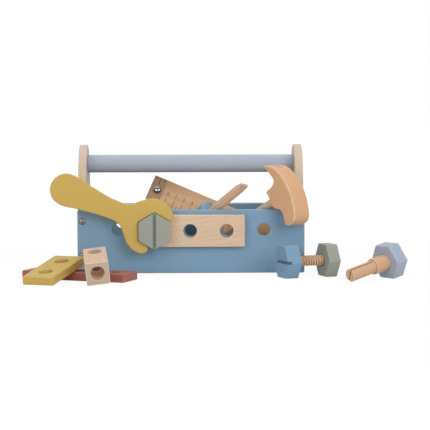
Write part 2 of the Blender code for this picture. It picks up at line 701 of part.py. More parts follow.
def make_hammer():
    """Its handle lies on the front panel's top edge and its end on the floor; the head hangs in front."""
    down = heading_vector(HAMMER_HEADING, -HAMMER_PITCH)
    radius = HAMMER_HANDLE / 2
    crossing = axis_over_panel(END_INSIDE - HAMMER_FROM_END, down, radius)
    rim_drop = radius * math.sqrt(1 - down.z ** 2)
    to_floor = (crossing.z - rim_drop - FLOOR_THICKNESS - TOUCH) / abs(down.z)
    towards_viewer = Vector((-math.sin(HAMMER_FACE_TURN), -math.cos(HAMMER_FACE_TURN), HAMMER_FACE_RISE))
    face = (towards_viewer - towards_viewer.dot(down) * down).normalized()
    clawward = down.cross(face)
    centre = crossing - HAMMER_REACH * down - HAMMER_AXIS_RISE * clawward
    place = frame_from(centre, clawward, down, face)
    lift = joint_empty("hammer_axis", place)
    points = [(a * HAMMER_HALF_LENGTH, d * HAMMER_HALF_DEPTH, False) for a, d in HAMMER_SHARES]
    mesh = flat_outline("hammer_head", points, HAMMER_THICKNESS)
    head = add_object("hammer_head", mesh, place, "beech", lift)
    round_edges(head, HAMMER_ROUND, angle=50)
    notch_half = CLAW_WIDTH / 2
    claw_tip = HAMMER_SHARES[0][0] * HAMMER_HALF_LENGTH
    notch = add_object("claw_notch", polygon_piece(
        "claw_notch", ((claw_tip + OVERRUN, notch_half * (1 + OVERRUN / CLAW_DEPTH)),
                       (claw_tip - CLAW_DEPTH, 0),
                       (claw_tip + OVERRUN, -notch_half * (1 + OVERRUN / CLAW_DEPTH))),
        3 * HAMMER_HALF_DEPTH), place @ Matrix.Rotation(math.radians(90), 4, "X"))
    cut(head, notch)
    shaft_place = place @ at(HAMMER_AXIS_RISE, HAMMER_HALF_DEPTH - HAMMER_SOCKET, 0) @ ALONG_Y
    length = to_floor + HAMMER_REACH - HAMMER_HALF_DEPTH + HAMMER_SOCKET
    drill(head, shaft_place, HAMMER_HANDLE + 2 * TOUCH, -TOUCH, HAMMER_SOCKET + HAMMER_HALF_DEPTH)
    handle = add_object("hammer_handle", prism_mesh("hammer_handle", radius, 0, length, 24),
                        shaft_place, "beech", lift)
    smooth(handle)


def ramp_frame(along, foot, heading):
    """A frame on the slope between the floor and the red strip's upper front edge. The origin is the
    foot on the floor, so far along the strip from its middle and so far out from its front edge."""
    strip_along = heading_vector(RED_HEADING)
    strip_back = Vector((-strip_along.y, strip_along.x, 0))
    centre = Vector((RED_CENTRE_X, RED_CENTRE_Y, 0))
    slope = math.atan2(STRIP_THICKNESS + TOUCH, foot)
    normal = math.cos(slope) * Vector((0, 0, 1)) - math.sin(slope) * strip_back
    origin = centre - (STRIP_WIDTH / 2 + foot) * strip_back + along * strip_along
    forward = heading_vector(heading)
    forward = (forward - forward.dot(normal) * normal).normalized()
    return frame_from(origin, forward, normal.cross(forward), normal)


def make_floor_pieces():
    """The red strip on the floor, and the yellow strip and drilled block that lean on it."""
    red_along = heading_vector(RED_HEADING)
    red_across = Vector((-red_along.y, red_along.x, 0))
    first_hole = Vector((RED_CENTRE_X, RED_CENTRE_Y, 0)) - HOLE_PITCH * red_along
    make_strip("red_strip", frame_from(first_hole, red_along, red_across, Vector((0, 0, 1))), 3, "red")

    yellow = ramp_frame(-YELLOW_ALONG, YELLOW_FOOT, YELLOW_HEADING)
    make_strip("yellow_strip", yellow @ at(STRIP_MARGIN, 0, 0), 2, "mustard")

    block_place = ramp_frame(BLOCK_ALONG, BLOCK_FOOT, BLOCK_HEADING)
    low = (0, -BLOCK_SECTION, 0)
    high = (BLOCK_LENGTH, 0, BLOCK_SECTION)
    block = add_object("drilled_block", box_mesh("drilled_block", low, high), block_place, "maple")
    round_edges(block, EASED)
    middle = BLOCK_SECTION / 2
    drill(block, block_place @ at(0, -middle, middle) @ ALONG_X, STRIP_HOLE, 0, BLOCK_LENGTH, flare=HOLE_FLARE)
    drill(block, block_place @ at(BLOCK_LENGTH - BLOCK_CROSS_BORE, -middle, 0), STRIP_HOLE, 0, BLOCK_SECTION,
          flare=HOLE_FLARE)


def make_loose_bolt():
    """The blue bolt with its grey nut, both lying on a flat of their hexagons."""
    along = heading_vector(LOOSE_BOLT_HEADING)
    across = Vector((-along.y, along.x, 0))
    origin = Vector((LOOSE_BOLT_X, LOOSE_BOLT_Y, HEX_FLATS / 2))
    # Local Z runs from near the head's outer face to the nut, local X up
    place = frame_from(origin, Vector((0, 0, 1)), across * -1, along)
    axis = joint_empty("loose_bolt_axis", place)
    make_bolt("loose_bolt", place, "blue", axis, extra=LOOSE_HEAD_EXTRA)
    make_nut("loose_nut", place @ at(0, 0, HEAD_THICKNESS + LOOSE_NUT_GAP), "grey", None)


def make_split_peg():
    """A hexagon head on a split, stepped dowel, lying on an edge of its head and on its tip."""
    tip = PEG_NARROW / 2
    pitch = math.atan2(PEG_FLATS / 2 - tip, PEG_LENGTH)
    towards_tip = heading_vector(PEG_HEADING + math.radians(180), -pitch)
    level = Vector((0, 0, 1)).cross(towards_tip).normalized()
    upright = towards_tip.cross(level)
    origin = Vector((PEG_X, PEG_Y, PEG_FLATS / 2 * upright.z))
    # Local X up, local Z from the head's outer face towards the peg's tip
    place = frame_from(origin - HEAD_THICKNESS * towards_tip, upright, towards_tip.cross(upright), towards_tip)
    lift = joint_empty("split_peg_axis", place)
    head = make_head("peg_head", place, "periwinkle", lift, PEG_FLATS, slotted=False)
    wide = PEG_WIDE / 2
    socket = HEAD_THICKNESS - THREAD_SOCKET
    drill(head, place, PEG_WIDE + 2 * TOUCH, socket - TOUCH, HEAD_THICKNESS + OVERRUN)
    step = HEAD_THICKNESS + PEG_WIDE_LENGTH
    end = HEAD_THICKNESS + PEG_LENGTH
    profile = ((0, end), (tip - EASED, end), (tip, end - EASED), (tip, step), (wide - EASED / 2, step),
               (wide, step - EASED / 2), (wide, socket), (0, socket))
    peg = turned("split_peg", profile, place, PEG_STEPS, "beech", lift)
    half = PEG_SPLIT / 2
    split = add_object("split", box_mesh("split", (-wide - OVERRUN, -half, step + EASED),
                                         (wide + OVERRUN, half, end + OVERRUN)),
                       place @ Matrix.Rotation(PEG_SPLIT_TURN, 4, "Z"))
    cut(peg, split)
    smooth(peg)


make_box()
make_front_work()
make_ruler()
make_screwdriver()
make_hammer()
make_floor_pieces()
make_loose_bolt()
make_split_peg()
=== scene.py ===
"""A wooden toy tool box with its tools and loose building pieces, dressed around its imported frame.

Metres, +Z up. The origin is the centre of the underside of the box's floor board, +X runs along the
box to its right end, and the front panel faces -Y. Each piece is a finer shape in the place of its
frame node, and its place is worked out from what it rests on, leans against or is bolted to.
"""
import math

import bmesh
import bpy
from bpy.props import FloatProperty, FloatVectorProperty, PointerProperty
from bpy.types import Operator, Panel, PropertyGroup
from mathutils import Matrix, Vector


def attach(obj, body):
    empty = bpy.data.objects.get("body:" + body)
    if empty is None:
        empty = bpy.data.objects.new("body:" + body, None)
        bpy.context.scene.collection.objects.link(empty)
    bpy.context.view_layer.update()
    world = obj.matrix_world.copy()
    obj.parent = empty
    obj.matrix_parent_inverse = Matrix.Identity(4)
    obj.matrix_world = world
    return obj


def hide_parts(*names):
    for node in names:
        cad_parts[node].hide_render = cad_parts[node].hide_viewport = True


bl_info = {
    "name": "Wooden Toy Tool Box",
    "version": (1, 0, 0),
    "blender": (4, 5, 0),
    "location": "3D View > Sidebar > Tool Box",
    "description": "Builds a wooden toy tool box, its tools and its loose building pieces",
    "category": "Object",
}

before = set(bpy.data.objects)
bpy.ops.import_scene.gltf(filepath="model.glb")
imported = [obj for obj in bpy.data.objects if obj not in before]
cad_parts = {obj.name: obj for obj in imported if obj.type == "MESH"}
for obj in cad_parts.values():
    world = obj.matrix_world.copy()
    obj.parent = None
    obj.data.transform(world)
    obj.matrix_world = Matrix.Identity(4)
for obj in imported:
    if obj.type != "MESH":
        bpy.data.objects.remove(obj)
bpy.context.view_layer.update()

# Clearances
TOUCH = 0.0003          # gap between pieces that touch
OVERRUN = 0.004         # how far a cut runs past a face
ON_AXIS = 0.000001      # a turned profile's radius that counts as nothing
WELD = 0.000002         # merging distance of finished meshes
SHARP = 0.00001         # rounding of a rim that is left sharp

# How finely things are made
ROUND_SEGMENTS = 4      # in a rounded edge
LIP_SEGMENTS = 4        # in a hole's lip
GRIP_SEGMENTS = 6       # in the round ends of the screwdriver's grip
CURVE_STEPS = 8         # between two points of a sawn outline
DIGIT_STEPS = 6         # between two points of a digit
DOME_STEPS = 10         # from the top to the rim of the rivet's head
CROWN_STEPS = 6         # from the top to the rim of a screw's head
TURNED_STEPS = 72       # round a turned piece
SMALL_STEPS = 40        # round a screw or the rivet
THREAD_STEPS = 48       # round a threaded dowel
THREAD_ROWS = 16        # rings of points in one turn of a thread
SMOOTH_ANGLE = math.radians(38)
THREAD_SMOOTH_ANGLE = math.radians(80)

# Rounded edges, which get a lighter tone: thin paint and a painted highlight on painted pieces, and a painted
# highlight on bare wood. The values say how much their facets bend and how narrow they are
EDGE_WEAR_AND_HIGHLIGHT_MARK = "worn_edge"
WEAR_AND_HIGHLIGHT_LOW = math.radians(11)
WEAR_AND_HIGHLIGHT_HIGH = math.radians(65)
WEAR_AND_HIGHLIGHT_WIDTH = 0.002

# Where a plate's outline is narrow its rounding is shortened by steps of the first share, until no edge
# is nearer than the second share of it, or it is down to the third share of the full rounding
SHORTER_REACH_SHARE = 0.85
CLEAR_REACH_SHARE = 0.97
LEAST_REACH_SHARE = 0.05

# Tints by facing: a local axis, the tint, and its shares on faces that run along the axis
# and on faces that are square to it
BLEACHED_FACES = (2, (0.66, 0.64, 0.61, 1.0), 0.30, 0.75)
# the block's end faces are darker: partly the end grain, partly painted shade
END_GRAIN_AND_SHADE = (0, (0.60, 0.455, 0.345, 1.0), 0.0, 0.85)

# Finishes
FULL = (0.0, 1.0)       # the range from nothing to all
GRAIN_DEPTH = 0.0003
SCRATCH_DEPTH = 0.00005
RING_SWAY = 0.010       # how far the growth rings waver
# painted shade: the thinned end, which lies deeper than the leg's face, is coloured darker
REBATE_SHADE = 0.70     # colour of the ruler's thinned end as a share of the leg's

# A wood screw's head: its rim as a share of the crown, its recess' length and width as shares of the head's
# radius and its depth of the crown, and the recess' floor as a share of its mouth
SCREW_RIM_SHARE = 0.62
RECESS_LENGTH_SHARE = 0.52
RECESS_WIDTH_SHARE = 0.13
RECESS_DEPTH_SHARE = 0.55
RECESS_FLOOR_SHARE = 0.45
SCREW_TURN = math.radians(37)   # how much further round each screw stands than the one before

# The thread: a power that narrows its groove, and shares of its depth
THREAD_POWER = 1.7
THREAD_TIP_SHARE = 1.2          # chamfer of the dowel's tip
THREAD_CLEAR_SHARE = 0.25       # depth where the groove's shade ends

# The ruler's rivet: its button as a share of the head, and its rim as a share of the dome
RIVET_BUTTON_SHARE = 0.8
RIVET_RIM_SHARE = 0.2

# Marks on the ruler's thinned end: distance from the end, kind, and share of that kind's length
END_MARKS = ((0.0028, "short_mark", 0.80), (0.0075, "long_mark", 0.85), (0.0125, "short_mark", 0.80))
END_MARK_WIDTH_SHARE = 1.7

# Grooves in the screwdriver's grip: where the first one lies, as a share of the grip's length,
# their distance apart, and the depth and height of one's points, as shares of their depth
GRIP_GROOVES_SHARE = 0.62
GRIP_PITCH_SHARE = 6
GRIP_GROOVE_SHARES = ((0, 2.2), (0.3, 1.4), (1, 0.5), (1, -0.5), (0.3, -1.4), (0, -2.2))

PEG_SHOULDER_SHARE = 0.7        # rounding of the peg's step, as a share of the eased edges'

# Outline of the wrench: the jaw end as shares of the jaw's size from the bolt's axis, the handle's edges
# as shares of the reach and of the waist's half width, and the angles of the points round the bulb
JAW_LONG_EDGE_SHARE = 0.32
JAW_LONG_TIP_SHARES = (0.32, 0.77)
JAW_BACK_SHARES = ((0.12, 0.90), (-0.19, 1.00), (-0.55, 0.95), (-0.88, 0.69), (-1.19, 0.37))
HANDLE_BACK_SHARES = ((0.50, 0.80), (0.80, 0.79))
BULB_ANGLES = (97, 130, 165, 200, 235, 265)
HANDLE_FRONT_SHARES = ((0.78, -1.95), (0.52, -1.31))
JAW_FRONT_SHARES = ((-1.25, -0.375), (-1.06, -0.445), (-0.87, -0.61), (-0.62, -0.82), (-0.26, -0.925),
                    (0.02, -0.86), (0.12, -0.68))
JAW_SHORT_EDGE_SHARE = 0.045

# Outline of the hammer head: shares of its half length (towards the claw) and half depth (towards the handle)
HAMMER_SHARES = ((1.09, 0.43), (0.92, 0.32), (0.74, 0.195), (0.60, 0.11), (0.50, 0.115), (0.44, 0.23),
                 (0.40, 0.41), (0.372, 0.61), (0.366, 0.90), (0.33, 1.045), (0.18, 1.015), (0.03, 0.98),
                 (-0.125, 0.99), (-0.225, 0.955), (-0.30, 0.82), (-0.365, 0.595), (-0.445, 0.445),
                 (-0.53, 0.395), (-0.645, 0.40), (-0.79, 0.45), (-0.93, 0.48), (-0.99, 0.34), (-1.02, -0.01),
                 (-0.98, -0.375), (-0.865, -0.58), (-0.685, -0.74), (-0.49, -0.845), (-0.255, -0.92),
                 (-0.045, -0.945), (0.165, -0.91), (0.37, -0.82), (0.57, -0.67), (0.76, -0.49),
                 (0.915, -0.24), (1.03, 0.065), (1.095, 0.30))

# How a wood grain axis is turned to the texture's Z
GRAIN_TURNS = {"X": (0, math.radians(-90), 0), "Y": (math.radians(90), 0, 0), "Z": (0, 0, 0)}

# The white floor and the object's shadow on it
WHITE = (1, 1, 1, 1)
FLOOR_REACH = 8                 # half the floor's length
FLOOR_TOP = 0.0002              # how far the floor lies below the object
FLOOR_BOTTOM = 0.02
SHADOW_FADE = (0.30, 0.75)      # distances from the box's middle between which the shadow fades away
FLOOR_GLOW = 1.02               # the floor's own light where there is no shadow
SHADOW_DIMMING = 0.92           # how much of that light gives way to the lamps' light under the object

# The lamps: place, the point that it is aimed at, and length of a side
LAMPS = (("key", (1.0, -1.85, 0.85), (0, -0.03, 0.06), 1.1),
         ("fill", (-1.0, -1.85, 0.75), (0, -0.03, 0.06), 1.1),
         ("overhead", (-0.1, 0.5, 1.8), (0, 0, 0.05), 1.6))
SENSOR_WIDTH = 36
CLIP_START = 0.05


def metres(default, name, description):
    """A length that a user would change."""
    return FloatProperty(name=name, description=description, default=default, precision=5, unit="LENGTH")


def radians(default, name, description):
    """An angle that a user would change."""
    return FloatProperty(name=name, description=description, default=default, unit="ROTATION")


def degrees(default, name, description):
    """An angle that a user would change, given in degrees."""
    return radians(math.radians(default), name, description)


def colour(default, name, description):
    """A linear colour that a user would change."""
    return FloatVectorProperty(name=name, description=description, default=default, size=3, min=0, max=1,
                               subtype="COLOR")


def factor(default, name, description):
    """A share from nothing to all."""
    return FloatProperty(name=name, description=description, default=default, min=0, max=1, subtype="FACTOR")


def strength(default, name, description):
    """A lamp's or world's strength."""
    return FloatProperty(name=name, description=description, default=default, min=0)


class BoxSizes(PropertyGroup):
    """The open box: two long panels, two arched ends, a floor board and a carrying bar."""
    length: metres(0.250, "Length", "Length of the front and back panels")
    depth: metres(0.120, "Depth", "Outside depth over both long panels")
    height: metres(0.140, "Height", "Height of the arched ends")
    board: metres(0.009, "Board", "Thickness of the panels and ends")
    panel_height: metres(0.070, "Panel height", "Height of the long panels")
    panel_round: metres(0.0018, "Panel rounding", "Rounding of the painted panels' edges")
    eased: metres(0.0010, "Eased edge", "Rounding of sawn bare edges")
    lip: metres(0.0006, "Hole lip", "Rounding of the mouth of a drilled hole")
    floor: metres(0.013, "Floor board", "Thickness of the floor board")
    arch: metres(0.036, "Arch radius", "Radius of the ends' round tops")
    hole: metres(0.014, "Panel hole", "Diameter of the holes in the long panels")
    pitch: metres(0.040, "Hole pitch", "Distance between neighbouring holes")
    hole_height: metres(0.048, "Hole height", "Height of the panel holes over the ground")
    bar: metres(0.020, "Bar", "Diameter of the carrying bar")
    bar_drop: metres(0.0215, "Bar drop", "Distance of the carrying bar's axis below the ends' tops")


class FastenerSizes(PropertyGroup):
    """Wood screws, hexagon heads, nuts and threaded dowels."""
    screw_head: metres(0.0068, "Screw head", "Diameter of a wood screw's head")
    screw_crown: metres(0.0020, "Screw crown", "Thickness of a wood screw's head")
    screw_shank: metres(0.0032, "Screw shank", "Diameter of a wood screw's shank")
    screw_length: metres(0.022, "Screw length", "Length of a wood screw under its head")
    screw_inset: metres(0.0055, "Screw inset", "Distance of the screws from the box's ends")
    screw_sunk: metres(0.0016, "Screw sunk", "Depth of the step that a screw's head sits in")
    screw_low: metres(0.0195, "Lower screws", "Height of the lower screws")
    screw_drop: metres(0.0125, "Upper screws", "Distance of the upper screws below the panels' top edges")
    flats: metres(0.035, "Hexagon", "Width of a hexagon across its flats")
    head: metres(0.015, "Head", "Thickness of a hexagon head")
    nut: metres(0.0136, "Nut", "Thickness of a nut")
    hex_round: metres(0.0012, "Hexagon rounding", "Rounding of the hexagons' edges")
    slot_width: metres(0.0034, "Slot width", "Width of a head's slot")
    slot_depth: metres(0.0044, "Slot depth", "Depth of a head's slot")
    slot_lip: metres(0.0002, "Slot lip", "Rounding of the slot's upper edges")
    thread: metres(0.0115, "Thread", "Outside diameter of the threaded dowel")
    thread_depth: metres(0.0012, "Thread depth", "Depth of the thread's groove")
    thread_pitch: metres(0.0030, "Thread pitch", "Rise of the thread in one turn")
    thread_length: metres(0.046, "Thread length", "Length of the dowel beyond its head")
    socket: metres(0.008, "Socket", "Depth of the dowel's socket in its head")
    nut_play: metres(0.0004, "Nut play", "Clearance of a nut's bore round the thread")


class StripSizes(PropertyGroup):
    """Drilled strips, and the drilled block."""
    thickness: metres(0.009, "Thickness", "Thickness of a strip")
    width: metres(0.035, "Width", "Width of a strip")
    hole: metres(0.015, "Hole", "Diameter of the holes in strips and block")
    margin: metres(0.020, "Margin", "Distance of the end holes from a strip's ends")
    shift: metres(0.0012, "Shift", "How far the bolted strip hangs to the left of its bolt's middle")
    drop: metres(0.0007, "Drop", "How far the bolted strip hangs below its bolt's middle")
    section: metres(0.0242, "Block section", "Width and height of the drilled block")
    block: metres(0.0515, "Block length", "Length of the drilled block")
    cross_bore: metres(0.013, "Cross bore", "Distance of the block's cross bore from its far end")
    red_x: metres(-0.1195, "Red strip X", "Middle of the red strip")
    red_y: metres(-0.1136, "Red strip Y", "Middle of the red strip")
    red_heading: degrees(-23.1, "Red heading", "Direction of the red strip on the floor")
    yellow_heading: degrees(68.7, "Yellow heading", "Direction of the yellow strip's length")
    yellow_along: metres(0.0140, "Yellow place", "How far left of the red strip's middle the yellow leans")
    yellow_foot: metres(0.050, "Yellow foot", "Distance of the yellow strip's foot from the red strip")
    block_along: metres(0.0368, "Block place", "How far right of the red strip's middle the block leans")
    block_foot: metres(0.0387, "Block foot", "Distance of the block's foot from the red strip")
    block_heading: degrees(94.4, "Block heading", "Direction of the block's length")


class WrenchSizes(PropertyGroup):
    """The open wrench round the panel bolt's head."""
    thickness: metres(0.010, "Thickness", "Thickness of the wrench")
    jaw: metres(0.032, "Jaw", "Half width of the jaw end")
    waist: metres(0.0205, "Waist", "Width of the handle's narrow part")
    bulb: metres(0.0174, "Bulb", "Radius of the handle's round end")
    reach: metres(0.1055, "Reach", "Distance from the bolt to the round end's middle")
    bulb_drop: metres(0.0085, "Bulb drop", "How far the round end lies off the jaw's axis")
    round: metres(0.0012, "Rounding", "Rounding of the wrench's edges")
    jaw_round: metres(0.0004, "Jaw rounding", "Rounding of the jaw's flats against the bolt head")
    long_tip: metres(0.0020, "Long tip", "Rounding of the jaw's long tip")
    short_tip: metres(0.0030, "Short tip", "Rounding of the jaw's short tip")
    play: metres(0.0005, "Play", "Clearance between jaw and bolt head")
    angle: degrees(-30, "Angle", "Turn of the wrench about the bolt")


class RulerSizes(PropertyGroup):
    """The two legs of the folding ruler, their rivet and the burnt marks."""
    length: metres(0.160, "Length", "Length of a leg")
    width: metres(0.030, "Width", "Width of a leg")
    leg: metres(0.0045, "Leg", "Thickness of a leg")
    eased: metres(0.0008, "Eased edge", "Rounding of the legs' edges")
    turn: degrees(10.2, "Turn", "Turn of the ruler in the box, seen from above")
    lean: degrees(15, "Lean", "Lean of the ruler away from the viewer")
    from_end: metres(0.1575, "From end", "Distance from the right end to where it crosses the back panel")
    overhang: metres(0.0115, "Overhang", "Length of the ruler beyond the back panel")
    rebate: metres(0.0162, "Rebate", "Length of the thinned end")
    rebate_depth: metres(0.0015, "Rebate depth", "Depth of the thinned end")
    rivet_inset: metres(0.0086, "Rivet inset", "Distance of the rivet from the end")
    rivet_head: metres(0.0090, "Rivet head", "Diameter of the rivet's head")
    rivet_dome: metres(0.0026, "Rivet dome", "Height of the rivet's domed head")
    rivet_shank: metres(0.0040, "Rivet shank", "Diameter of the rivet's shank")
    rivet_button: metres(0.0010, "Rivet button", "Thickness of the rivet's rear button")
    division: metres(0.010, "Division", "Distance between numbered marks")
    first_mark: metres(0.0227, "First mark", "Distance of the mark of zero from the end")
    long_mark: metres(0.0106, "Long mark", "Length of a numbered mark")
    short_mark: metres(0.0052, "Short mark", "Length of a mark in between")
    mark_width: metres(0.0006, "Mark width", "Width of a burnt mark")
    mark_relief: metres(0.00003, "Mark relief", "How far a burnt mark stands on the wood")
    digit: metres(0.0062, "Digit", "Size of the burnt digits")
    digit_height: metres(0.0150, "Digit height", "Height of the digits' middle on the leg")


class ScrewdriverSizes(PropertyGroup):
    """The screwdriver that leans on the front panel."""
    shaft: metres(0.0100, "Shaft", "Diameter of the shaft")
    handle: metres(0.0260, "Handle", "Diameter of the handle")
    reach: metres(0.0570, "Reach", "Length of the shaft beyond the handle")
    socket: metres(0.020, "Socket", "Depth of the shaft in the handle")
    pitch: degrees(32.5, "Pitch", "Rise of the tool's axis")
    heading: degrees(-44, "Heading", "Direction of the tool's axis, seen from above")
    roll: degrees(-12, "Roll", "Turn of the tool about its axis")
    from_end: metres(0.0825, "From end", "Distance from the right end to where it crosses the front panel")
    tip: metres(0.0024, "Tip", "Thickness of the wedge's flat end")
    taper: metres(0.013, "Taper", "Length of the wedge")
    round: metres(0.0030, "Rounding", "Rounding of the handle's ends")
    groove: metres(0.0007, "Groove", "Depth of the grooves turned in the handle")


class HammerSizes(PropertyGroup):
    """The hammer that lies over the front panel."""
    handle: metres(0.0100, "Handle", "Diameter of the handle")
    pitch: degrees(28.6, "Pitch", "Fall of the handle into the box")
    heading: degrees(131.3, "Heading", "Direction of the handle, seen from above")
    face_turn: degrees(45, "Face turn", "Direction that the head's flat side faces")
    face_rise: factor(0.03, "Face rise", "How far the head's flat side faces up")
    from_end: metres(0.0277, "From end", "Distance from the right end to where it crosses the front panel")
    reach: metres(0.0276, "Reach", "Distance of the head's middle from the crossing")
    half_length: metres(0.035, "Half length", "Half the head's length")
    half_depth: metres(0.017, "Half depth", "Half the head's depth")
    thickness: metres(0.0238, "Thickness", "Thickness of the head")
    axis_rise: metres(0.0018, "Axis rise", "How far the handle lies off the head's middle")
    socket: metres(0.020, "Socket", "Depth of the handle in the head")
    round: metres(0.0022, "Rounding", "Rounding of the head's edges")
    claw_width: metres(0.0068, "Claw width", "Width of the claw's notch")
    claw_depth: metres(0.0105, "Claw depth", "Depth of the claw's notch")


class LoosePieceSizes(PropertyGroup):
    """Where the blue bolt lies, and the split peg."""
    bolt_x: metres(0.0968, "Bolt X", "Middle of the blue bolt's slotted face")
    bolt_y: metres(-0.1116, "Bolt Y", "Middle of the blue bolt's slotted face")
    bolt_heading: degrees(19.5, "Bolt heading", "Direction of the blue bolt's thread")
    head_extra: metres(0.0012, "Extra head", "How much thicker the blue head is than the grey one")
    nut_gap: metres(0.0319, "Nut gap", "Length of thread between the blue head and its nut")
    peg_flats: metres(0.0358, "Peg hexagon", "Width of the peg's head across its flats")
    peg_x: metres(0.2055, "Peg X", "Middle of the peg head's inner face")
    peg_y: metres(-0.1220, "Peg Y", "Middle of the peg head's inner face")
    peg_heading: degrees(36.7, "Peg heading", "Direction from the peg's tip to its head")
    peg_wide: metres(0.0174, "Wide part", "Diameter of the peg at its head")
    peg_wide_length: metres(0.018, "Wide length", "Length of the peg's wide part")
    peg_narrow: metres(0.0137, "Narrow part", "Diameter of the peg's split part")
    peg_length: metres(0.0510, "Peg length", "Length of the peg beyond its head")
    peg_split: metres(0.0018, "Split", "Width of the peg's saw cut")
    peg_split_turn: degrees(-25, "Split turn", "Turn of the saw cut about the peg")


class FinishColours(PropertyGroup):
    """Paints and woods."""
    blue: colour((0.212, 0.368, 0.520), "Blue", "Blue paint of the panels, screwdriver and loose bolt")
    periwinkle: colour((0.440, 0.495, 0.605), "Periwinkle", "Pale blue paint of the bar and the peg's head")
    mustard: colour((0.660, 0.450, 0.100), "Mustard", "Yellow paint of the wrench and short strip")
    grey: colour((0.360, 0.376, 0.322), "Grey", "Grey-green paint of the panel bolt and the nuts")
    red: colour((0.400, 0.123, 0.076), "Red", "Brick-red paint of the long strip")
    maple: colour((0.825, 0.605, 0.410), "Pale wood", "Pale wood of the ends, the bolted strip and the block")
    maple_deep: colour((0.600, 0.380, 0.230), "Pale wood's grain", "Late wood of the pale pieces")
    beech: colour((0.770, 0.495, 0.300), "Beech", "Warmer wood of the hammer, peg and threads")
    beech_deep: colour((0.560, 0.320, 0.170), "Beech grain", "Late wood of the warmer pieces")
    hammer: colour((0.850, 0.500, 0.268), "Hammer wood", "Wood of the hammer's head")
    hammer_deep: colour((0.600, 0.320, 0.155), "Hammer grain", "Late wood of the hammer's head")
    ruler: colour((0.865, 0.545, 0.305), "Ruler wood", "Wood of the ruler")
    ruler_deep: colour((0.610, 0.360, 0.185), "Ruler grain", "Late wood of the ruler")
    burnt: colour((0.200, 0.105, 0.050), "Burnt marks", "Burnt marks on the ruler")
    chrome: colour((0.350, 0.365, 0.395), "Chrome", "The ruler's rivet")
    steel: colour((0.290, 0.280, 0.270), "Steel", "The wood screws")
    relief: factor(0.30, "Relief", "How strongly the grain stands out in bare wood")
    paint_relief: factor(0.18, "Paint relief", "How strongly the grain shows through paint")
    # the lighter rounded painted edges stand for thin paint and a painted highlight
    wear: factor(0.35, "Edge wear", "How much lighter the rounded painted edges are")


class StudioSettings(PropertyGroup):
    """The camera, the lamps and the white floor."""
    lens: FloatProperty(name="Lens", description="Focal length", default=136.36, unit="CAMERA")
    camera_x: metres(-0.01181, "Camera X", "Place of the camera")
    camera_y: metres(-1.845, "Camera Y", "Place of the camera")
    camera_z: metres(0.19315, "Camera Z", "Place of the camera")
    camera_yaw: radians(0.021345, "Yaw", "Turn to the right")
    camera_pitch: radians(0.0721415, "Pitch", "Tilt down")
    camera_roll: radians(-0.002229, "Roll", "Tilt of the picture")
    key: strength(14.0, "Key", "Power of the soft lamp at the front right")
    fill: strength(8.0, "Fill", "Power of the soft lamp at the front left")
    overhead: strength(10.5, "Overhead", "Power of the soft lamp above and behind")
    world: strength(0.37, "World", "Light from all round")
    bounce: factor(0.75, "Floor", "How much light the floor throws back")
    shadow: factor(0.12, "Shadow", "How dark the object's shadow on the floor is")


class ToolBoxSettings(PropertyGroup):
    """Everything that a user would change."""
    box: PointerProperty(type=BoxSizes)
    fasteners: PointerProperty(type=FastenerSizes)
    strips: PointerProperty(type=StripSizes)
    wrench: PointerProperty(type=WrenchSizes)
    ruler: PointerProperty(type=RulerSizes)
    screwdriver: PointerProperty(type=ScrewdriverSizes)
    hammer: PointerProperty(type=HammerSizes)
    loose: PointerProperty(type=LoosePieceSizes)
    finishes: PointerProperty(type=FinishColours)
    studio: PointerProperty(type=StudioSettings)


# Placing

def frame_from(origin, x_axis, y_axis, z_axis):
    """A placing matrix from an origin and three unit axes."""
    matrix = Matrix((x_axis, y_axis, z_axis)).transposed().to_4x4()
    matrix.translation = origin
    return matrix


def at(x, y, z):
    return Matrix.Translation((x, y, z))


def turned_by(angle, axis):
    return Matrix.Rotation(angle, 4, axis)


def heading_vector(heading, pitch=0.0):
    """Unit vector that points along a compass heading and climbs by the pitch."""
    flat = math.cos(pitch)
    return Vector((flat * math.cos(heading), flat * math.sin(heading), math.sin(pitch)))


def left_of(along):
    """The level direction to the left of another level one."""
    return Vector((-along.y, along.x, 0))


UP = Vector((0, 0, 1))
IN_PLACE = Matrix()
ALONG_Y = turned_by(math.radians(-90), "X")       # local Z turned to world +Y
AGAINST_Y = turned_by(math.radians(90), "X")      # local Z turned to world -Y
ALONG_X = turned_by(math.radians(90), "Y")        # local Z turned to world +X
AGAINST_X = turned_by(math.radians(-90), "Y")     # local Z turned to world -X
# Seen from the front: local X to the right, local Y up, local Z towards the viewer
FACING_VIEWER = frame_from((0, 0, 0), (1, 0, 0), (0, 0, 1), (0, -1, 0))


# Shapes

def quarter_turn(steps):
    """Angles from nothing to a right angle."""
    return [math.radians(90 * i / steps) for i in range(steps + 1)]


def full_turn(steps):
    """Angles once round."""
    return [math.tau * i / steps for i in range(steps)]


def new_piece(name, data, place):
    piece = bpy.data.objects.new(name, data)
    bpy.context.scene.collection.objects.link(piece)
    piece.matrix_world = place
    return piece


def built_piece(name, build, place):
    """A piece from a function that fills a bmesh."""
    bm = bmesh.new()
    build(bm)
    bmesh.ops.recalc_face_normals(bm, faces=bm.faces)
    mesh = bpy.data.meshes.new(name)
    bm.to_mesh(mesh)
    bm.free()
    return new_piece(name, mesh, place)


def evaluated_mesh(piece):
    """The mesh of a piece with its cuts made, or with its curve or letters filled."""
    bpy.context.view_layer.update()
    return bpy.data.meshes.new_from_object(piece.evaluated_get(bpy.context.evaluated_depsgraph_get()))


def mesh_of_curve(curve):
    guide = new_piece("guide", curve, IN_PLACE)
    mesh = evaluated_mesh(guide)
    bpy.data.objects.remove(guide)
    return mesh


def bevel_all(bm, width):
    """Round every edge of a simple solid."""
    bmesh.ops.bevel(bm, geom=bm.edges[:] + bm.verts[:], offset=width, offset_type="OFFSET", affect="EDGES",
                    segments=ROUND_SEGMENTS, profile=0.5, clamp_overlap=True)


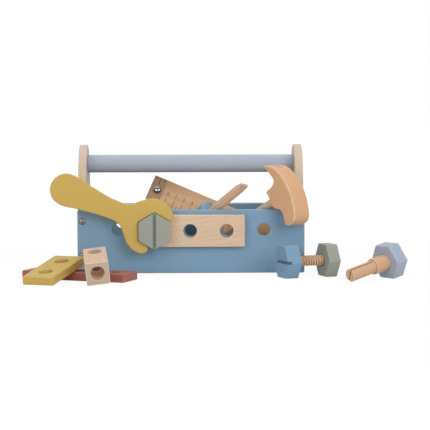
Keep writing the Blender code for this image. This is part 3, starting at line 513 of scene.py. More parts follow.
def add_box(bm, low, high):
    """Add a plain box between two corners."""
    made = bmesh.ops.create_cube(bm, size=1)["verts"]
    bmesh.ops.scale(bm, vec=Vector(high) - Vector(low), verts=made)
    bmesh.ops.translate(bm, vec=(Vector(high) + Vector(low)) / 2, verts=made)


def skin(bm, rings):
    """Faces over closed rings of points and over both ends; a ring may be a single point."""
    for lower, upper in zip(rings, rings[1:]):
        count = max(len(lower), len(upper))
        for i in range(count):
            j = (i + 1) % count
            corners = (lower[i % len(lower)], lower[j % len(lower)],
                       upper[j % len(upper)], upper[i % len(upper)])
            bm.faces.new(list(dict.fromkeys(corners)))
    for end in (rings[0], rings[-1]):
        if len(end) > 1:
            bm.faces.new(end)


def board(name, low, high, place, rounding=0.0):
    """A board between two corners, with its edges rounded."""
    def build(bm):
        add_box(bm, low, high)
        if rounding:
            bevel_all(bm, rounding)
    return built_piece(name, build, place)


def corner_radius(flats):
    """Distance of a hexagon's corners from its middle, from its width across the flats."""
    return flats / math.sqrt(3)


def hexagon(name, flats, thickness, rounding, place):
    """A hexagon with flats at local +-X, from local Z 0 to its thickness."""
    def build(bm):
        corner = corner_radius(flats)
        bmesh.ops.create_cone(bm, cap_ends=True, segments=6, radius1=corner, radius2=corner, depth=thickness)
        bmesh.ops.translate(bm, vec=(0, 0, thickness / 2), verts=bm.verts)
        bevel_all(bm, rounding)
    return built_piece(name, build, place)


def lathe(name, profile, place, steps=TURNED_STEPS):
    """A solid turned about local Z from (radius, height) points; the profile starts and ends on the axis."""
    def build(bm):
        rings = []
        for radius, height in profile:
            turns = full_turn(steps if radius > ON_AXIS else 1)
            rings.append([bm.verts.new((radius * math.cos(a), radius * math.sin(a), height)) for a in turns])
        skin(bm, rings)
    return built_piece(name, build, place)


def arc_profile(centre_radius, centre_height, radius, start, end, segments=ROUND_SEGMENTS):
    """Profile points of an arc, from one angle to another in degrees; 0 points away from the axis, 90 up."""
    angles = [math.radians(start + (end - start) * i / segments) for i in range(segments + 1)]
    return [(centre_radius + radius * math.cos(a), centre_height + radius * math.sin(a)) for a in angles]


def dowel_profile(radius, low, high, rounding):
    """Profile of a dowel with rounded rims."""
    return ([(0, high)] + arc_profile(radius - rounding, high - rounding, rounding, 90, 0)
            + arc_profile(radius - rounding, low + rounding, rounding, 0, -90) + [(0, low)])


def hole_profile(radius, low, high, lip):
    """Profile of the cutter for a hole from low to high whose two mouths have rounded lips."""
    return ([(0, high + OVERRUN), (radius + lip, high + OVERRUN)]
            + arc_profile(radius + lip, high - lip, lip, 90, 180, LIP_SEGMENTS)
            + arc_profile(radius + lip, low + lip, lip, 180, 270, LIP_SEGMENTS)
            + [(radius + lip, low - OVERRUN), (0, low - OVERRUN)])


def plain_profile(radius, low, high):
    return [(0, high), (radius, high), (radius, low), (0, low)]


def prism(name, polygon, low, high, place, foot=1):
    """A prism over a closed polygon of (x, y) points; its lower end may be a share of the upper one."""
    def build(bm):
        bottom = [bm.verts.new((foot * x, foot * y, low)) for x, y in polygon]
        top = [bm.verts.new((x, y, high)) for x, y in polygon]
        skin(bm, (bottom, top))
    return built_piece(name, build, place)


def rounded_corner(here, before, after, radius):
    """Two knots, each with its place and its left and right handles, for an arc in place of a corner."""
    before = (before - here).normalized()
    after = (after - here).normalized()
    half_turn = (math.pi - before.angle(after)) / 2
    reach = radius * math.tan(half_turn)
    pull = 4 / 3 * math.tan(half_turn / 2) * radius
    return [(here + reach * before, here + (reach + pull) * before, here + (reach - pull) * before, "FREE"),
            (here + reach * after, here + (reach - pull) * after, here + (reach + pull) * after, "FREE")]


def outline_polygon(points):
    """A closed polygon through (x, y, corner) points: smooth for no corner, else rounded by its radius."""
    places = [Vector((x, y, 0)) for x, y, _corner in points]
    knots = []
    for i, (_x, _y, corner) in enumerate(points):
        if corner:
            knots += rounded_corner(places[i], places[i - 1], places[(i + 1) % len(places)], corner)
        else:
            knots.append((places[i], None, None, "AUTO" if corner is None else "VECTOR"))

    curve = bpy.data.curves.new("outline", "CURVE")
    curve.dimensions = "2D"
    curve.fill_mode = "NONE"
    curve.resolution_u = CURVE_STEPS
    spline = curve.splines.new("BEZIER")
    spline.bezier_points.add(len(knots) - 1)
    spline.use_cyclic_u = True
    for bezier, (place, left, right, handle) in zip(spline.bezier_points, knots):
        bezier.co = place
        bezier.handle_left_type = handle
        bezier.handle_right_type = handle
        if left:
            bezier.handle_left = left
            bezier.handle_right = right

    mesh = mesh_of_curve(curve)
    polygon = []
    for vertex in mesh.vertices:
        if not polygon or (vertex.co.xy - polygon[-1]).length > WELD:
            polygon.append(vertex.co.xy.copy())
    if (polygon[0] - polygon[-1]).length < WELD:
        polygon.pop()
    bpy.data.meshes.remove(mesh)
    return polygon


def polygon_area(polygon):
    return sum(a.x * b.y - b.x * a.y for a, b in zip(polygon, polygon[1:] + polygon[:1])) / 2


def distance_to(polygon, point):
    """Shortest distance from a point to a closed polygon's edges."""
    nearest = math.inf
    for start, end in zip(polygon, polygon[1:] + polygon[:1]):
        edge = end - start
        share = max(0, min(1, (point - start).dot(edge) / edge.length_squared))
        nearest = min(nearest, (start + share * edge - point).length_squared)
    return math.sqrt(nearest)


def inward_reach(polygon, rounding, rounding_at):
    """For each corner of a polygon its inward direction, and how far its rounding may run along it."""
    reaches = []
    for i, here in enumerate(polygon):
        before = (here - polygon[i - 1]).normalized()
        after = (polygon[(i + 1) % len(polygon)] - here).normalized()
        normal_before = Vector((-before.y, before.x))
        normal_after = Vector((-after.y, after.x))
        inward = (normal_before + normal_after) / (1 + normal_before.dot(normal_after))
        reach = rounding_at(here) if rounding_at else rounding
        least = LEAST_REACH_SHARE * rounding
        while reach > least and distance_to(polygon, here + reach * inward) < CLEAR_REACH_SHARE * reach:
            reach *= SHORTER_REACH_SHARE
        reaches.append((inward, reach))
    return reaches


def plate(name, polygon, thickness, rounding, place, rounding_at=None):
    """A flat plate over a polygon, centred on local Z; a function may set its rims' rounding by place."""
    if polygon_area(polygon) < 0:
        polygon = polygon[::-1]
    reaches = inward_reach(polygon, rounding, rounding_at)
    ball = quarter_turn(ROUND_SEGMENTS + 1)

    def ring(bm, angle, side):
        points = []
        for here, (inward, reach) in zip(polygon, reaches):
            point = here + reach * (1 - math.cos(angle)) * inward
            height = thickness / 2 - reach * (1 - math.sin(angle))
            points.append(bm.verts.new((point.x, point.y, side * height)))
        return points

    def build(bm):
        skin(bm, [ring(bm, a, -1) for a in reversed(ball)] + [ring(bm, a, 1) for a in ball])
        bmesh.ops.remove_doubles(bm, verts=bm.verts, dist=WELD)
        bmesh.ops.dissolve_degenerate(bm, edges=bm.edges, dist=WELD)
    return built_piece(name, build, place)


def carve(piece, *cutters):
    """Cut the cutters out of a piece one after the other, and clear them away."""
    for cutter in cutters:
        boolean = piece.modifiers.new("cut", "BOOLEAN")
        boolean.operation = "DIFFERENCE"
        boolean.solver = "EXACT"
        boolean.object = cutter
    carved = evaluated_mesh(piece)
    piece.modifiers.clear()
    old = piece.data
    carved.name = old.name
    piece.data = carved
    bpy.data.meshes.remove(old)
    for cutter in cutters:
        bpy.data.meshes.remove(cutter.data)
    return piece


def hole(place, radius, low, high, lip):
    """A cutter for a lipped hole along the place's local Z."""
    return lathe("hole", hole_profile(radius, low, high, lip), place)


def bore(place, radius, low, high):
    """A cutter for a plain bore along the place's local Z."""
    return lathe("bore", plain_profile(radius, low, high), place)


# Finishes

def node(tree, kind, inputs=None, **settings):
    """Add a shader node; each input is a plain value or the socket that feeds it."""
    made = tree.nodes.new("ShaderNode" + kind)
    for key, value in settings.items():
        setattr(made, key, value)
    for key, value in (inputs or {}).items():
        if isinstance(value, bpy.types.NodeSocket):
            tree.links.new(value, made.inputs[key])
        else:
            made.inputs[key].default_value = value
    return made


def noise(tree, vector, scale, detail=3.0, roughness=0.55):
    pattern = {"Vector": vector, "Scale": scale, "Detail": detail, "Roughness": roughness}
    return node(tree, "TexNoise", pattern).outputs[0]


def remap(tree, value, source, target):
    """A value of a source range as the like value of a target range, and kept within it."""
    ranges = {"From Min": source[0], "From Max": source[1], "To Min": target[0], "To Max": target[1]}
    return node(tree, "MapRange", {"Value": value, **ranges}).outputs[0]


def blend(tree, share, first, second):
    return node(tree, "Mix", {0: share, 6: first, 7: second}, data_type="RGBA").outputs[2]


def calculate(tree, operation, first, second=0.0):
    return node(tree, "Math", {0: first, 1: second}, operation=operation).outputs[0]


def distance_from_origin(tree, vector):
    return node(tree, "VectorMath", {0: vector}, operation="LENGTH").outputs["Value"]


def own_coordinates(tree):
    return node(tree, "TexCoord").outputs["Object"]


def opaque(rgb, scale=1.0):
    return (*[min(1, channel * scale) for channel in rgb], 1.0)


def lightened(rgb, share, white):
    """A colour moved by a share towards a white of the given strength."""
    return opaque([channel + share * (white - channel) for channel in rgb])


def new_finish(name):
    """An empty material with its shader."""
    material = bpy.data.materials.new(name)
    material.use_nodes = True
    shader = material.node_tree.nodes["Principled BSDF"]
    return material, material.node_tree, shader


def surface(tree, shader, base, roughness, height, relief, depth=GRAIN_DEPTH):
    """Give a finish its colour, its roughness and a height pattern that stands out of it."""
    bump = node(tree, "Bump", {"Height": height, "Strength": relief, "Distance": depth})
    for socket, key in ((base, "Base Color"), (roughness, "Roughness"), (bump.outputs[0], "Normal")):
        tree.links.new(socket, shader.inputs[key])


def grain_space(tree, grain_axis, heart, slant=0.0):
    """Texture coordinates with the grain along Z or at a slant to it, and the tree's heart off the piece."""
    turned = node(tree, "Mapping", {"Vector": own_coordinates(tree), "Rotation": GRAIN_TURNS[grain_axis],
                                    "Location": (heart[0], heart[1], 0.0)})
    return node(tree, "Mapping", {"Vector": turned.outputs[0], "Rotation": (slant, 0.0, 0.0)}).outputs[0]


def stretched(tree, vector, along):
    """The coordinates squeezed along the grain, which stretches a pattern into fibres."""
    return node(tree, "VectorMath", {0: vector, 1: (1.0, 1.0, along)}, operation="MULTIPLY").outputs[0]


def off_axis(tree, coordinates):
    """Distance from the piece's own Z axis."""
    return distance_from_origin(tree, stretched(tree, coordinates, 0.0))


def growth_rings(tree, vector, ring):
    """Thin dark late-wood lines around the heart, wavering a little along the grain."""
    drift = node(tree, "TexNoise", {"Vector": stretched(tree, vector, 0.15), "Scale": 22.0, "Detail": 2.0})
    centred = node(tree, "VectorMath", {0: drift.outputs[1], 1: (-0.5, -0.5, -0.5)}, operation="ADD")
    swayed = node(tree, "VectorMath", {0: centred.outputs[0], 1: (RING_SWAY, RING_SWAY, 0.0), 2: vector},
                  operation="MULTIPLY_ADD")
    radius = distance_from_origin(tree, stretched(tree, swayed.outputs[0], 0.02))
    phase = calculate(tree, "FRACT", calculate(tree, "MULTIPLY", radius, 1 / ring))
    rise = remap(tree, phase, (0.35, 0.90), FULL)
    fall = remap(tree, phase, (0.90, 1.0), (1.0, 0.0))
    return calculate(tree, "MULTIPLY", calculate(tree, "POWER", rise, 2.0), fall)


def wood_finish(name, pale, deep, grain_axis, heart, relief, ring=0.0028, contrast=0.40, tint=None, slant=0.0,
                groove=None):
    """Bare sanded wood: growth rings, fibre streaks and small dark flecks, with a painted highlight on
    rounded edges and, for a thread, painted shade in its groove.
    """
    material, tree, shader = new_finish(name)
    space = grain_space(tree, grain_axis, heart, slant)
    rings = growth_rings(tree, space, ring)
    streaks = noise(tree, stretched(tree, space, 0.03), scale=420.0, detail=5.0, roughness=0.65)
    fibres = noise(tree, stretched(tree, space, 0.05), scale=1900.0, detail=2.0)
    specks = noise(tree, stretched(tree, space, 0.16), scale=1300.0, detail=1.0)
    flecks = remap(tree, specks, (0.66, 0.76), FULL)
    clouds = noise(tree, stretched(tree, space, 0.4), scale=30.0, detail=2.0)

    base = blend(tree, calculate(tree, "MULTIPLY", rings, contrast), opaque(pale), opaque(deep))
    base = blend(tree, remap(tree, streaks, (0.40, 0.75), (0.0, 0.55 * contrast + 0.10)), base, opaque(deep))
    base = blend(tree, calculate(tree, "MULTIPLY", flecks, 0.45), base, opaque(deep, 0.62))
    base = blend(tree, remap(tree, clouds, (0.3, 0.7), (0.0, 0.22)), base, opaque(pale, 1.10))
    if tint:
        axis, tone, least, most = tint
        facing = node(tree, "SeparateXYZ", {0: node(tree, "TexCoord").outputs["Normal"]}).outputs[axis]
        base = blend(tree, remap(tree, calculate(tree, "ABSOLUTE", facing), FULL, (least, most)), base, tone)
    # painted shade: the colour darkens towards the bottom of a thread's groove
    if groove:
        radius = off_axis(tree, own_coordinates(tree))
        base = blend(tree, remap(tree, radius, groove, (0.8, 0.0)), base, opaque(deep, 0.6))
    # painted highlight: rounded edges are blended towards a paler colour
    edges = node(tree, "Attribute", attribute_name=EDGE_WEAR_AND_HIGHLIGHT_MARK).outputs["Fac"]
    base = blend(tree, calculate(tree, "MULTIPLY", edges, 0.85), base, lightened(pale, 0.30, 0.92))

    height = calculate(tree, "ADD", calculate(tree, "MULTIPLY", fibres, 0.6), streaks)
    height = calculate(tree, "SUBTRACT", height, calculate(tree, "MULTIPLY", flecks, 0.8))
    surface(tree, shader, base, remap(tree, streaks, (0.3, 0.8), (0.52, 0.70)), height, relief)
    return material


def paint_finish(name, rgb, grain_axis, relief, wear):
    """Water-based satin paint on wood: the grain telegraphs through it, and rounded edges are lighter, for
    thin paint and as a painted highlight.
    """
    material, tree, shader = new_finish(name)
    space = grain_space(tree, grain_axis, (0.03, 0.05))
    streaks = noise(tree, stretched(tree, space, 0.04), scale=520.0, detail=4.0, roughness=0.6)
    clouds = noise(tree, space, scale=18.0, detail=2.0)
    speckle = noise(tree, space, scale=2400.0, detail=1.0)
    patches = noise(tree, space, scale=150.0)

    base = blend(tree, remap(tree, streaks, (0.35, 0.72), (0.0, 0.6)), opaque(rgb, 1.035), opaque(rgb, 0.945))
    base = blend(tree, remap(tree, clouds, (0.3, 0.7), (0.0, 0.4)), base, opaque(rgb, 1.025))
    # thin paint and painted highlight: rounded edges are lightened in patches
    edges = node(tree, "Attribute", attribute_name=EDGE_WEAR_AND_HIGHLIGHT_MARK).outputs["Fac"]
    rubbed_and_highlit = calculate(tree, "MULTIPLY", edges, remap(tree, patches, (0.35, 0.65), (0.35, 1.0)))
    base = blend(tree, calculate(tree, "MULTIPLY", rubbed_and_highlit, wear), base, lightened(rgb, 0.22, 0.85))

    height = calculate(tree, "ADD", streaks, calculate(tree, "MULTIPLY", speckle, 0.5))
    surface(tree, shader, base, remap(tree, clouds, (0.3, 0.7), (0.46, 0.58)), height, relief)
    return material


def burnt_finish(name, rgb):
    """Laser-burnt marks: uneven dark brown, duller than the wood."""
    material, tree, shader = new_finish(name)
    patches = noise(tree, own_coordinates(tree), scale=900.0)
    tree.links.new(blend(tree, patches, opaque(rgb, 0.6), opaque(rgb, 1.9)), shader.inputs["Base Color"])
    shader.inputs["Roughness"].default_value = 0.8
    return material


def metal_finish(name, rgb, gloss, scratch, rim):
    """Bare metal with fine turning scratches, an uneven gloss and a painted dark ring towards the head's rim,
    which stands in for the shade and dark reflections there.
    """
    material, tree, shader = new_finish(name)
    coordinates = own_coordinates(tree)
    smears = noise(tree, coordinates, scale=700.0)
    lines = noise(tree, stretched(tree, coordinates, 0.1), scale=5200.0, detail=2.0)
    # painted shade and reflection: a darker ring towards the head's rim
    ring = remap(tree, off_axis(tree, coordinates), (0.62 * rim, 0.86 * rim), (0.0, 0.6))
    base = blend(tree, ring, blend(tree, smears, opaque(rgb, 0.88), opaque(rgb, 1.06)), opaque(rgb, 0.35))
    shader.inputs["Metallic"].default_value = 1.0
    surface(tree, shader, base, remap(tree, smears, (0.3, 0.7), gloss), lines, scratch, SCRATCH_DEPTH)
    return material


def painted(finishes, which, grain_axis):
    """The material of a paint, made on first use for each grain direction."""
    name = f"{which}_paint_{grain_axis.lower()}"
    return bpy.data.materials.get(name) or paint_finish(
        name, getattr(finishes, which), grain_axis, finishes.paint_relief, finishes.wear)


def bare(finishes, name, wood, grain_axis, heart, **looks):
    """The material of one piece of bare wood, cut from its own part of the tree."""
    return wood_finish(name, getattr(finishes, wood), getattr(finishes, wood + "_deep"), grain_axis, heart,
                       finishes.relief, **looks)


def mark_worn_edges(mesh):
    """Mark the corners that lie inside a rounded edge, where the finishes paint a lighter tone: thin paint
    and a painted highlight on painted pieces, a painted highlight on bare wood.
    """
    bm = bmesh.new()
    bm.from_mesh(mesh)
    rounded = set()
    for face in bm.faces:
        bends = [edge for edge in face.edges
                 if edge.is_manifold and WEAR_AND_HIGHLIGHT_LOW < edge.calc_face_angle_signed(0) < WEAR_AND_HIGHLIGHT_HIGH]
        narrow = face.calc_area() < WEAR_AND_HIGHLIGHT_WIDTH / 2 * face.calc_perimeter()
        if narrow and len(bends) >= 2:
            rounded.add(face.index)
    values = [float(all(face.index in rounded for face in vertex.link_faces)) for vertex in bm.verts]
    bm.free()
    attribute = mesh.attributes.new(EDGE_WEAR_AND_HIGHLIGHT_MARK, "FLOAT", "POINT")
    attribute.data.foreach_set("value", values)


def dress(piece, body, slot, material, *nodes, threaded=False):
    """Shade and finish a piece, and put it on its body in place of its frame nodes."""
    mesh = piece.data
    mesh.materials.clear()
    mesh.materials.append(material)
    if not threaded:
        mark_worn_edges(mesh)
    mesh.shade_smooth()
    mesh.set_sharp_from_angle(angle=THREAD_SMOOTH_ANGLE if threaded else SMOOTH_ANGLE)
    even = piece.modifiers.new("even_normals", "WEIGHTED_NORMAL")
    even.keep_sharp = True
    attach(piece, body)
    if nodes:
        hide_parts(*nodes)
    return piece


# Places that several pieces share

def hole_places(box):
    return [box.pitch * i for i in (-2, -1, 0, 1, 2)]


def front_inside(box):
    return box.board - box.depth / 2


def end_inside(box):
    return box.length / 2 - box.board


def axis_over_panel(box, x, direction, radius):
    """Where a round bar's axis crosses the front panel's inner face when it lies on the rounded top edge."""
    rise = abs(direction.z / direction.y)
    clear = (radius + box.panel_round + TOUCH) * math.hypot(1, rise)
    return Vector((x, front_inside(box), box.panel_height - box.panel_round + clear - rise * box.panel_round))


def bolted_back(box, strips):
    """Y of the bolt head's inner face, in front of the bolted strip."""
    return -box.depth / 2 - TOUCH - strips.thickness - TOUCH


def ruler_place(box, ruler):
    """Local X along the ruler to its low right end, Y away from the viewer, Z across it."""
    nip = box.panel_round * (1 - math.sqrt(0.5))
    edge = Vector((end_inside(box) - ruler.from_end, nip - front_inside(box), box.panel_height + TOUCH - nip))
    drop = box.panel_height - nip - box.floor
    slope = math.asin(drop / (ruler.length - ruler.overhang))
    along = heading_vector(-ruler.turn, -slope)
    level_back = Vector((math.sin(ruler.turn), math.cos(ruler.turn), 0))
    upright = along.cross(level_back)
    across = math.cos(ruler.lean) * upright + math.sin(ruler.lean) * level_back
    return frame_from(edge - ruler.overhang * along, along, across.cross(along), across)


def ramp_place(strips, along, foot, heading):
    """A frame on the slope between the floor and the red strip's upper front edge."""
    strip_along = heading_vector(strips.red_heading)
    strip_back = left_of(strip_along)
    centre = Vector((strips.red_x, strips.red_y, 0))
    slope = math.atan2(strips.thickness + TOUCH, foot)
    normal = math.cos(slope) * UP - math.sin(slope) * strip_back
    origin = centre - (strips.width / 2 + foot) * strip_back + along * strip_along
    forward = heading_vector(heading)
    forward = (forward - forward.dot(normal) * normal).normalized()
    return frame_from(origin, forward, normal.cross(forward), normal)


def screw_places(box, fasteners):
    """The name, place on the outer face, outer node and inner node of each wood screw."""
    places = []
    for label, outward, side in (("front", AGAINST_Y, -1), ("back", ALONG_Y, 1)):
        for end, x_side in (("left", -1), ("right", 1)):
            x = x_side * (box.length / 2 - fasteners.screw_inset)
            for level, z in (("lower", fasteners.screw_low),
                             ("upper", box.panel_height - fasteners.screw_drop)):
                place = at(x, side * box.depth / 2, z) @ outward
                places.append((f"{label}_{end}_{level}", place, label + "_panel", end + "_end_panel"))
    for end, outward, side in (("left", AGAINST_X, -1), ("right", ALONG_X, 1)):
        place = at(side * box.length / 2, 0, box.height - box.bar_drop) @ outward
        places.append((f"{end}_handle", place, end + "_end_panel", "carry_handle"))
    return places


def screw_cutters(settings, node_name):
    """Cutters for the screws through a node: stepped holes in an outer piece, plain ones in an inner one."""
    fasteners = settings.fasteners
    radius = fasteners.screw_shank / 2 + TOUCH
    bottom = -fasteners.screw_sunk - fasteners.screw_length - radius
    step = fasteners.screw_head / 2 + TOUCH
    stepped = [(0, OVERRUN), (step, OVERRUN), (step, -fasteners.screw_sunk), (radius, -fasteners.screw_sunk),
               (radius, bottom), (0, bottom)]
    plain = plain_profile(radius, bottom, OVERRUN)
    cutters = []
    for _name, place, outer, inner in screw_places(settings.box, fasteners):
        if node_name in (outer, inner):
            cutters.append(lathe("screw_hole", stepped if node_name == outer else plain, place, SMALL_STEPS))
    return cutters


# The box

def make_boards(settings):
    """The floor board and the two long panels."""
    box, finishes = settings.box, settings.finishes
    inside = -front_inside(box)
    half = end_inside(box) - TOUCH
    floor = board("base_board", (-half, -inside + TOUCH, 0), (half, inside - TOUCH, box.floor), IN_PLACE,
                  box.eased / 2)
    wood = bare(finishes, "base_board_wood", "maple", "X", (0.05, 0.03))
    dress(floor, "box", "pale_wood", wood, "floor_board")
    for name, node_name, side in (("front_board", "front_panel", -1), ("back_board", "back_panel", 1)):
        near, far = sorted((side * inside, side * box.depth / 2))
        panel = board(name, (-box.length / 2, near, 0), (box.length / 2, far, box.panel_height), IN_PLACE,
                      box.panel_round)
        cutters = [hole(at(x, near, box.hole_height) @ ALONG_Y, box.hole / 2, 0, box.board, box.lip)
                   for x in hole_places(box)]
        carve(panel, *cutters, *screw_cutters(settings, node_name))
        dress(panel, "box", "blue_paint", painted(finishes, "blue", "X"), node_name)


def end_polygon(box):
    """Half-depth and height points of an end: straight sides, a taper and a round top."""
    half = -front_inside(box) - TOUCH
    centre = box.height - box.arch
    reach = math.hypot(half, centre - box.panel_height)
    start = math.acos(box.arch / reach) - math.atan2(centre - box.panel_height, half)
    steps = TURNED_STEPS // 2
    arc = [start + (math.pi - 2 * start) * i / steps for i in range(steps + 1)]
    points = [(-half, 0), (half, 0), (half, box.panel_height)]
    points += [(box.arch * math.cos(a), centre + box.arch * math.sin(a)) for a in arc]
    points.append((-half, box.panel_height))
    return [Vector(point) for point in points]


def make_ends(settings):
    """The two arched ends."""
    box = settings.box
    for name, node_name, side, heart in (("left_arched_end", "left_end_panel", -1, (0.060, 0.045)),
                                         ("right_arched_end", "right_end_panel", 1, (-0.055, 0.050))):
        stand_up = frame_from((side * (box.length - box.board) / 2, 0, 0), (0, 1, 0), (0, 0, 1), (1, 0, 0))
        end = plate(name, end_polygon(box), box.board, box.eased, stand_up)
        carve(end, *screw_cutters(settings, node_name))
        wood = bare(settings.finishes, name + "_wood", "maple", "Y", heart, tint=BLEACHED_FACES)
        dress(end, "box", "pale_wood", wood, node_name)


def make_bar(settings):
    """The round carrying bar between the ends."""
    box = settings.box
    half = end_inside(box) - TOUCH
    bar = lathe("carrying_bar", dowel_profile(box.bar / 2, -half, half, box.eased / 2),
                at(0, 0, box.height - box.bar_drop) @ ALONG_X)
    carve(bar, *screw_cutters(settings, "carry_handle"))
    dress(bar, "box", "periwinkle_paint", painted(settings.finishes, "periwinkle", "Z"), "carry_handle")


def cross_polygon(half, arm):
    """Outline of a cross, from its half length and its arms' half width."""
    return ((arm, arm), (half, arm), (half, -arm), (arm, -arm), (arm, -half), (-arm, -half), (-arm, -arm),
            (-half, -arm), (-half, arm), (-arm, arm), (-arm, half), (arm, half))


def make_screws(settings):
    """Wood screws with cross recesses, their heads sunk in stepped holes."""
    fasteners = settings.fasteners
    head = fasteners.screw_head / 2
    steel = metal_finish("screw_steel", settings.finishes.steel, (0.30, 0.48), 0.25, head)
    shank = fasteners.screw_shank / 2
    length = fasteners.screw_length
    crown = fasteners.screw_crown + TOUCH
    rim = SCREW_RIM_SHARE * crown
    dome = [(head * math.sin(a), rim + (crown - rim) * math.cos(a)) for a in quarter_turn(CROWN_STEPS)[1:]]
    profile = [(0, crown)] + dome
    profile += [(head, TOUCH), (shank, TOUCH), (shank, 2 * TOUCH - length + 2 * shank), (0, TOUCH - length)]
    cross = cross_polygon(RECESS_LENGTH_SHARE * head, RECESS_WIDTH_SHARE * head)
    for i, (name, place, _outer, _inner) in enumerate(screw_places(settings.box, fasteners)):
        seat = place @ at(0, 0, -fasteners.screw_sunk)
        screw = lathe(name + "_wood_screw", profile, seat, SMALL_STEPS)
        mouth = seat @ at(0, 0, crown + WELD) @ turned_by(i * SCREW_TURN, "Z")
        carve(screw, prism("recess", cross, -RECESS_DEPTH_SHARE * crown, 0, mouth, RECESS_FLOOR_SHARE))
        dress(screw, "box", "dark_steel", steel, name + "_screw")


# Bolts, nuts and strips

def slot_polygon(fasteners):
    """Cross section of a slot's cutter in (x, depth): square bottom, rounded upper edges."""
    half = fasteners.slot_width / 2
    lip = fasteners.slot_lip
    right = [(half, fasteners.slot_depth)]
    right += [(half + lip - lip * math.cos(a), lip - lip * math.sin(a)) for a in quarter_turn(LIP_SEGMENTS)]
    right.append((half + lip, -OVERRUN))
    return right + [(-x, depth) for x, depth in reversed(right)]


def make_head(name, place, settings, extra):
    """A slotted hexagon head; its outer face lies an extra outside local Z 0."""
    fasteners = settings.fasteners
    place = place @ at(0, 0, -extra)
    head = hexagon(name, fasteners.flats, fasteners.head + extra, fasteners.hex_round, place)
    half = corner_radius(fasteners.flats) + OVERRUN
    # The slot's (x, depth) section is turned so that its length runs along local Y
    return carve(head, prism("slot", slot_polygon(fasteners), -half, half, place @ FACING_VIEWER))


def threaded_dowel(name, fasteners, place):
    """A threaded dowel; the groove follows the thread's helix and runs out under the head and at the tip."""
    start = fasteners.head - fasteners.socket
    end = fasteners.head + fasteners.thread_length
    rows = round((end - start) / fasteners.thread_pitch * THREAD_ROWS)
    radius = fasteners.thread / 2
    chamfer = fasteners.thread_depth * THREAD_TIP_SHARE

    def radius_at(height, turn):
        phase = (height / fasteners.thread_pitch - turn / math.tau) % 1
        groove = (0.5 - 0.5 * math.cos(math.tau * phase)) ** THREAD_POWER
        if height < fasteners.head + TOUCH:
            groove = 1
        tip = max(0, chamfer - (end - height))
        return min(radius - groove * fasteners.thread_depth, radius - tip)

    def point(turn, height):
        reach = radius_at(height, turn)
        return reach * math.cos(turn), reach * math.sin(turn), height

    def build(bm):
        heights = [start + (end - start) * row / rows for row in range(rows + 1)]
        skin(bm, [[bm.verts.new(point(a, height)) for a in full_turn(THREAD_STEPS)] for height in heights])
    return built_piece(name, build, place)


def make_bolt(settings, names, nodes, body, place, paint_name, heart, extra=0):
    """A slotted hexagon head with a threaded dowel glued in its socket."""
    fasteners, finishes = settings.fasteners, settings.finishes
    crest = fasteners.thread / 2
    head = make_head(names[0], place, settings, extra)
    carve(head, bore(place, crest, fasteners.head - fasteners.socket - TOUCH, fasteners.head + OVERRUN))
    dress(head, body, paint_name + "_paint", painted(finishes, paint_name, "Z"), nodes[0])
    shank = threaded_dowel(names[1], fasteners, place)
    # painted shade in the thread's groove, from its bottom up to the given depth
    shaded = (crest - fasteners.thread_depth, crest - THREAD_CLEAR_SHARE * fasteners.thread_depth)
    wood = bare(finishes, names[1] + "_wood", "beech", "Z", heart, ring=0.0016, contrast=0.20, groove=shaded)
    dress(shank, body, "beech", wood, nodes[1], threaded=True)


def make_nut(settings, name, node_name, body, place):
    """A hexagon nut from local Z 0 to its thickness, with a lipped running bore."""
    fasteners = settings.fasteners
    nut = hexagon(name, fasteners.flats, fasteners.nut, fasteners.hex_round, place)
    carve(nut, hole(place, fasteners.thread / 2 + fasteners.nut_play, 0, fasteners.nut, 2 * settings.box.lip))
    dress(nut, body, "grey_paint", painted(settings.finishes, "grey", "Z"), node_name)


def make_panel_bolt(settings):
    """The grey bolt through the front panel and its nut inside."""
    box = settings.box
    bolt_x = hole_places(box)[1]
    outer = bolted_back(box, settings.strips) - settings.fasteners.head
    make_bolt(settings, ("grey_hexagon", "grey_bolt_thread"), ("panel_bolt_head", "panel_bolt_shank"),
              "panel_bolt", at(bolt_x, outer, box.hole_height) @ ALONG_Y, "grey", (0.02, 0.01))
    make_nut(settings, "inner_grey_nut", "panel_nut", "panel_nut_body",
             at(bolt_x, front_inside(box) + TOUCH, box.hole_height) @ ALONG_Y)


def make_strip(settings, name, place, hole_count):
    """A drilled strip: local X along it from the first hole, Y across, Z 0 its underside."""
    box, strips = settings.box, settings.strips
    half = strips.width / 2
    far_end = (hole_count - 1) * box.pitch + strips.margin
    strip = board(name, (-strips.margin, -half, 0), (far_end, half, strips.thickness), place, box.eased)
    return carve(strip, *[hole(place @ at(i * box.pitch, 0, 0), strips.hole / 2, 0, strips.thickness, box.lip)
                          for i in range(hole_count)])


def make_hanging_strip(settings):
    """The bare strip that hangs on the panel bolt."""
    box, strips = settings.box, settings.strips
    place = at(hole_places(box)[1] - strips.shift, -box.depth / 2 - TOUCH, box.hole_height - strips.drop)
    strip = make_strip(settings, "hanging_strip", place @ FACING_VIEWER, 3)
    wood = bare(settings.finishes, "hanging_strip_wood", "maple", "X", (0.055, 0.075),
                ring=0.0044, contrast=0.28, slant=0.17)
    dress(strip, "bolted_strip_body", "pale_wood", wood, "bolted_strip")


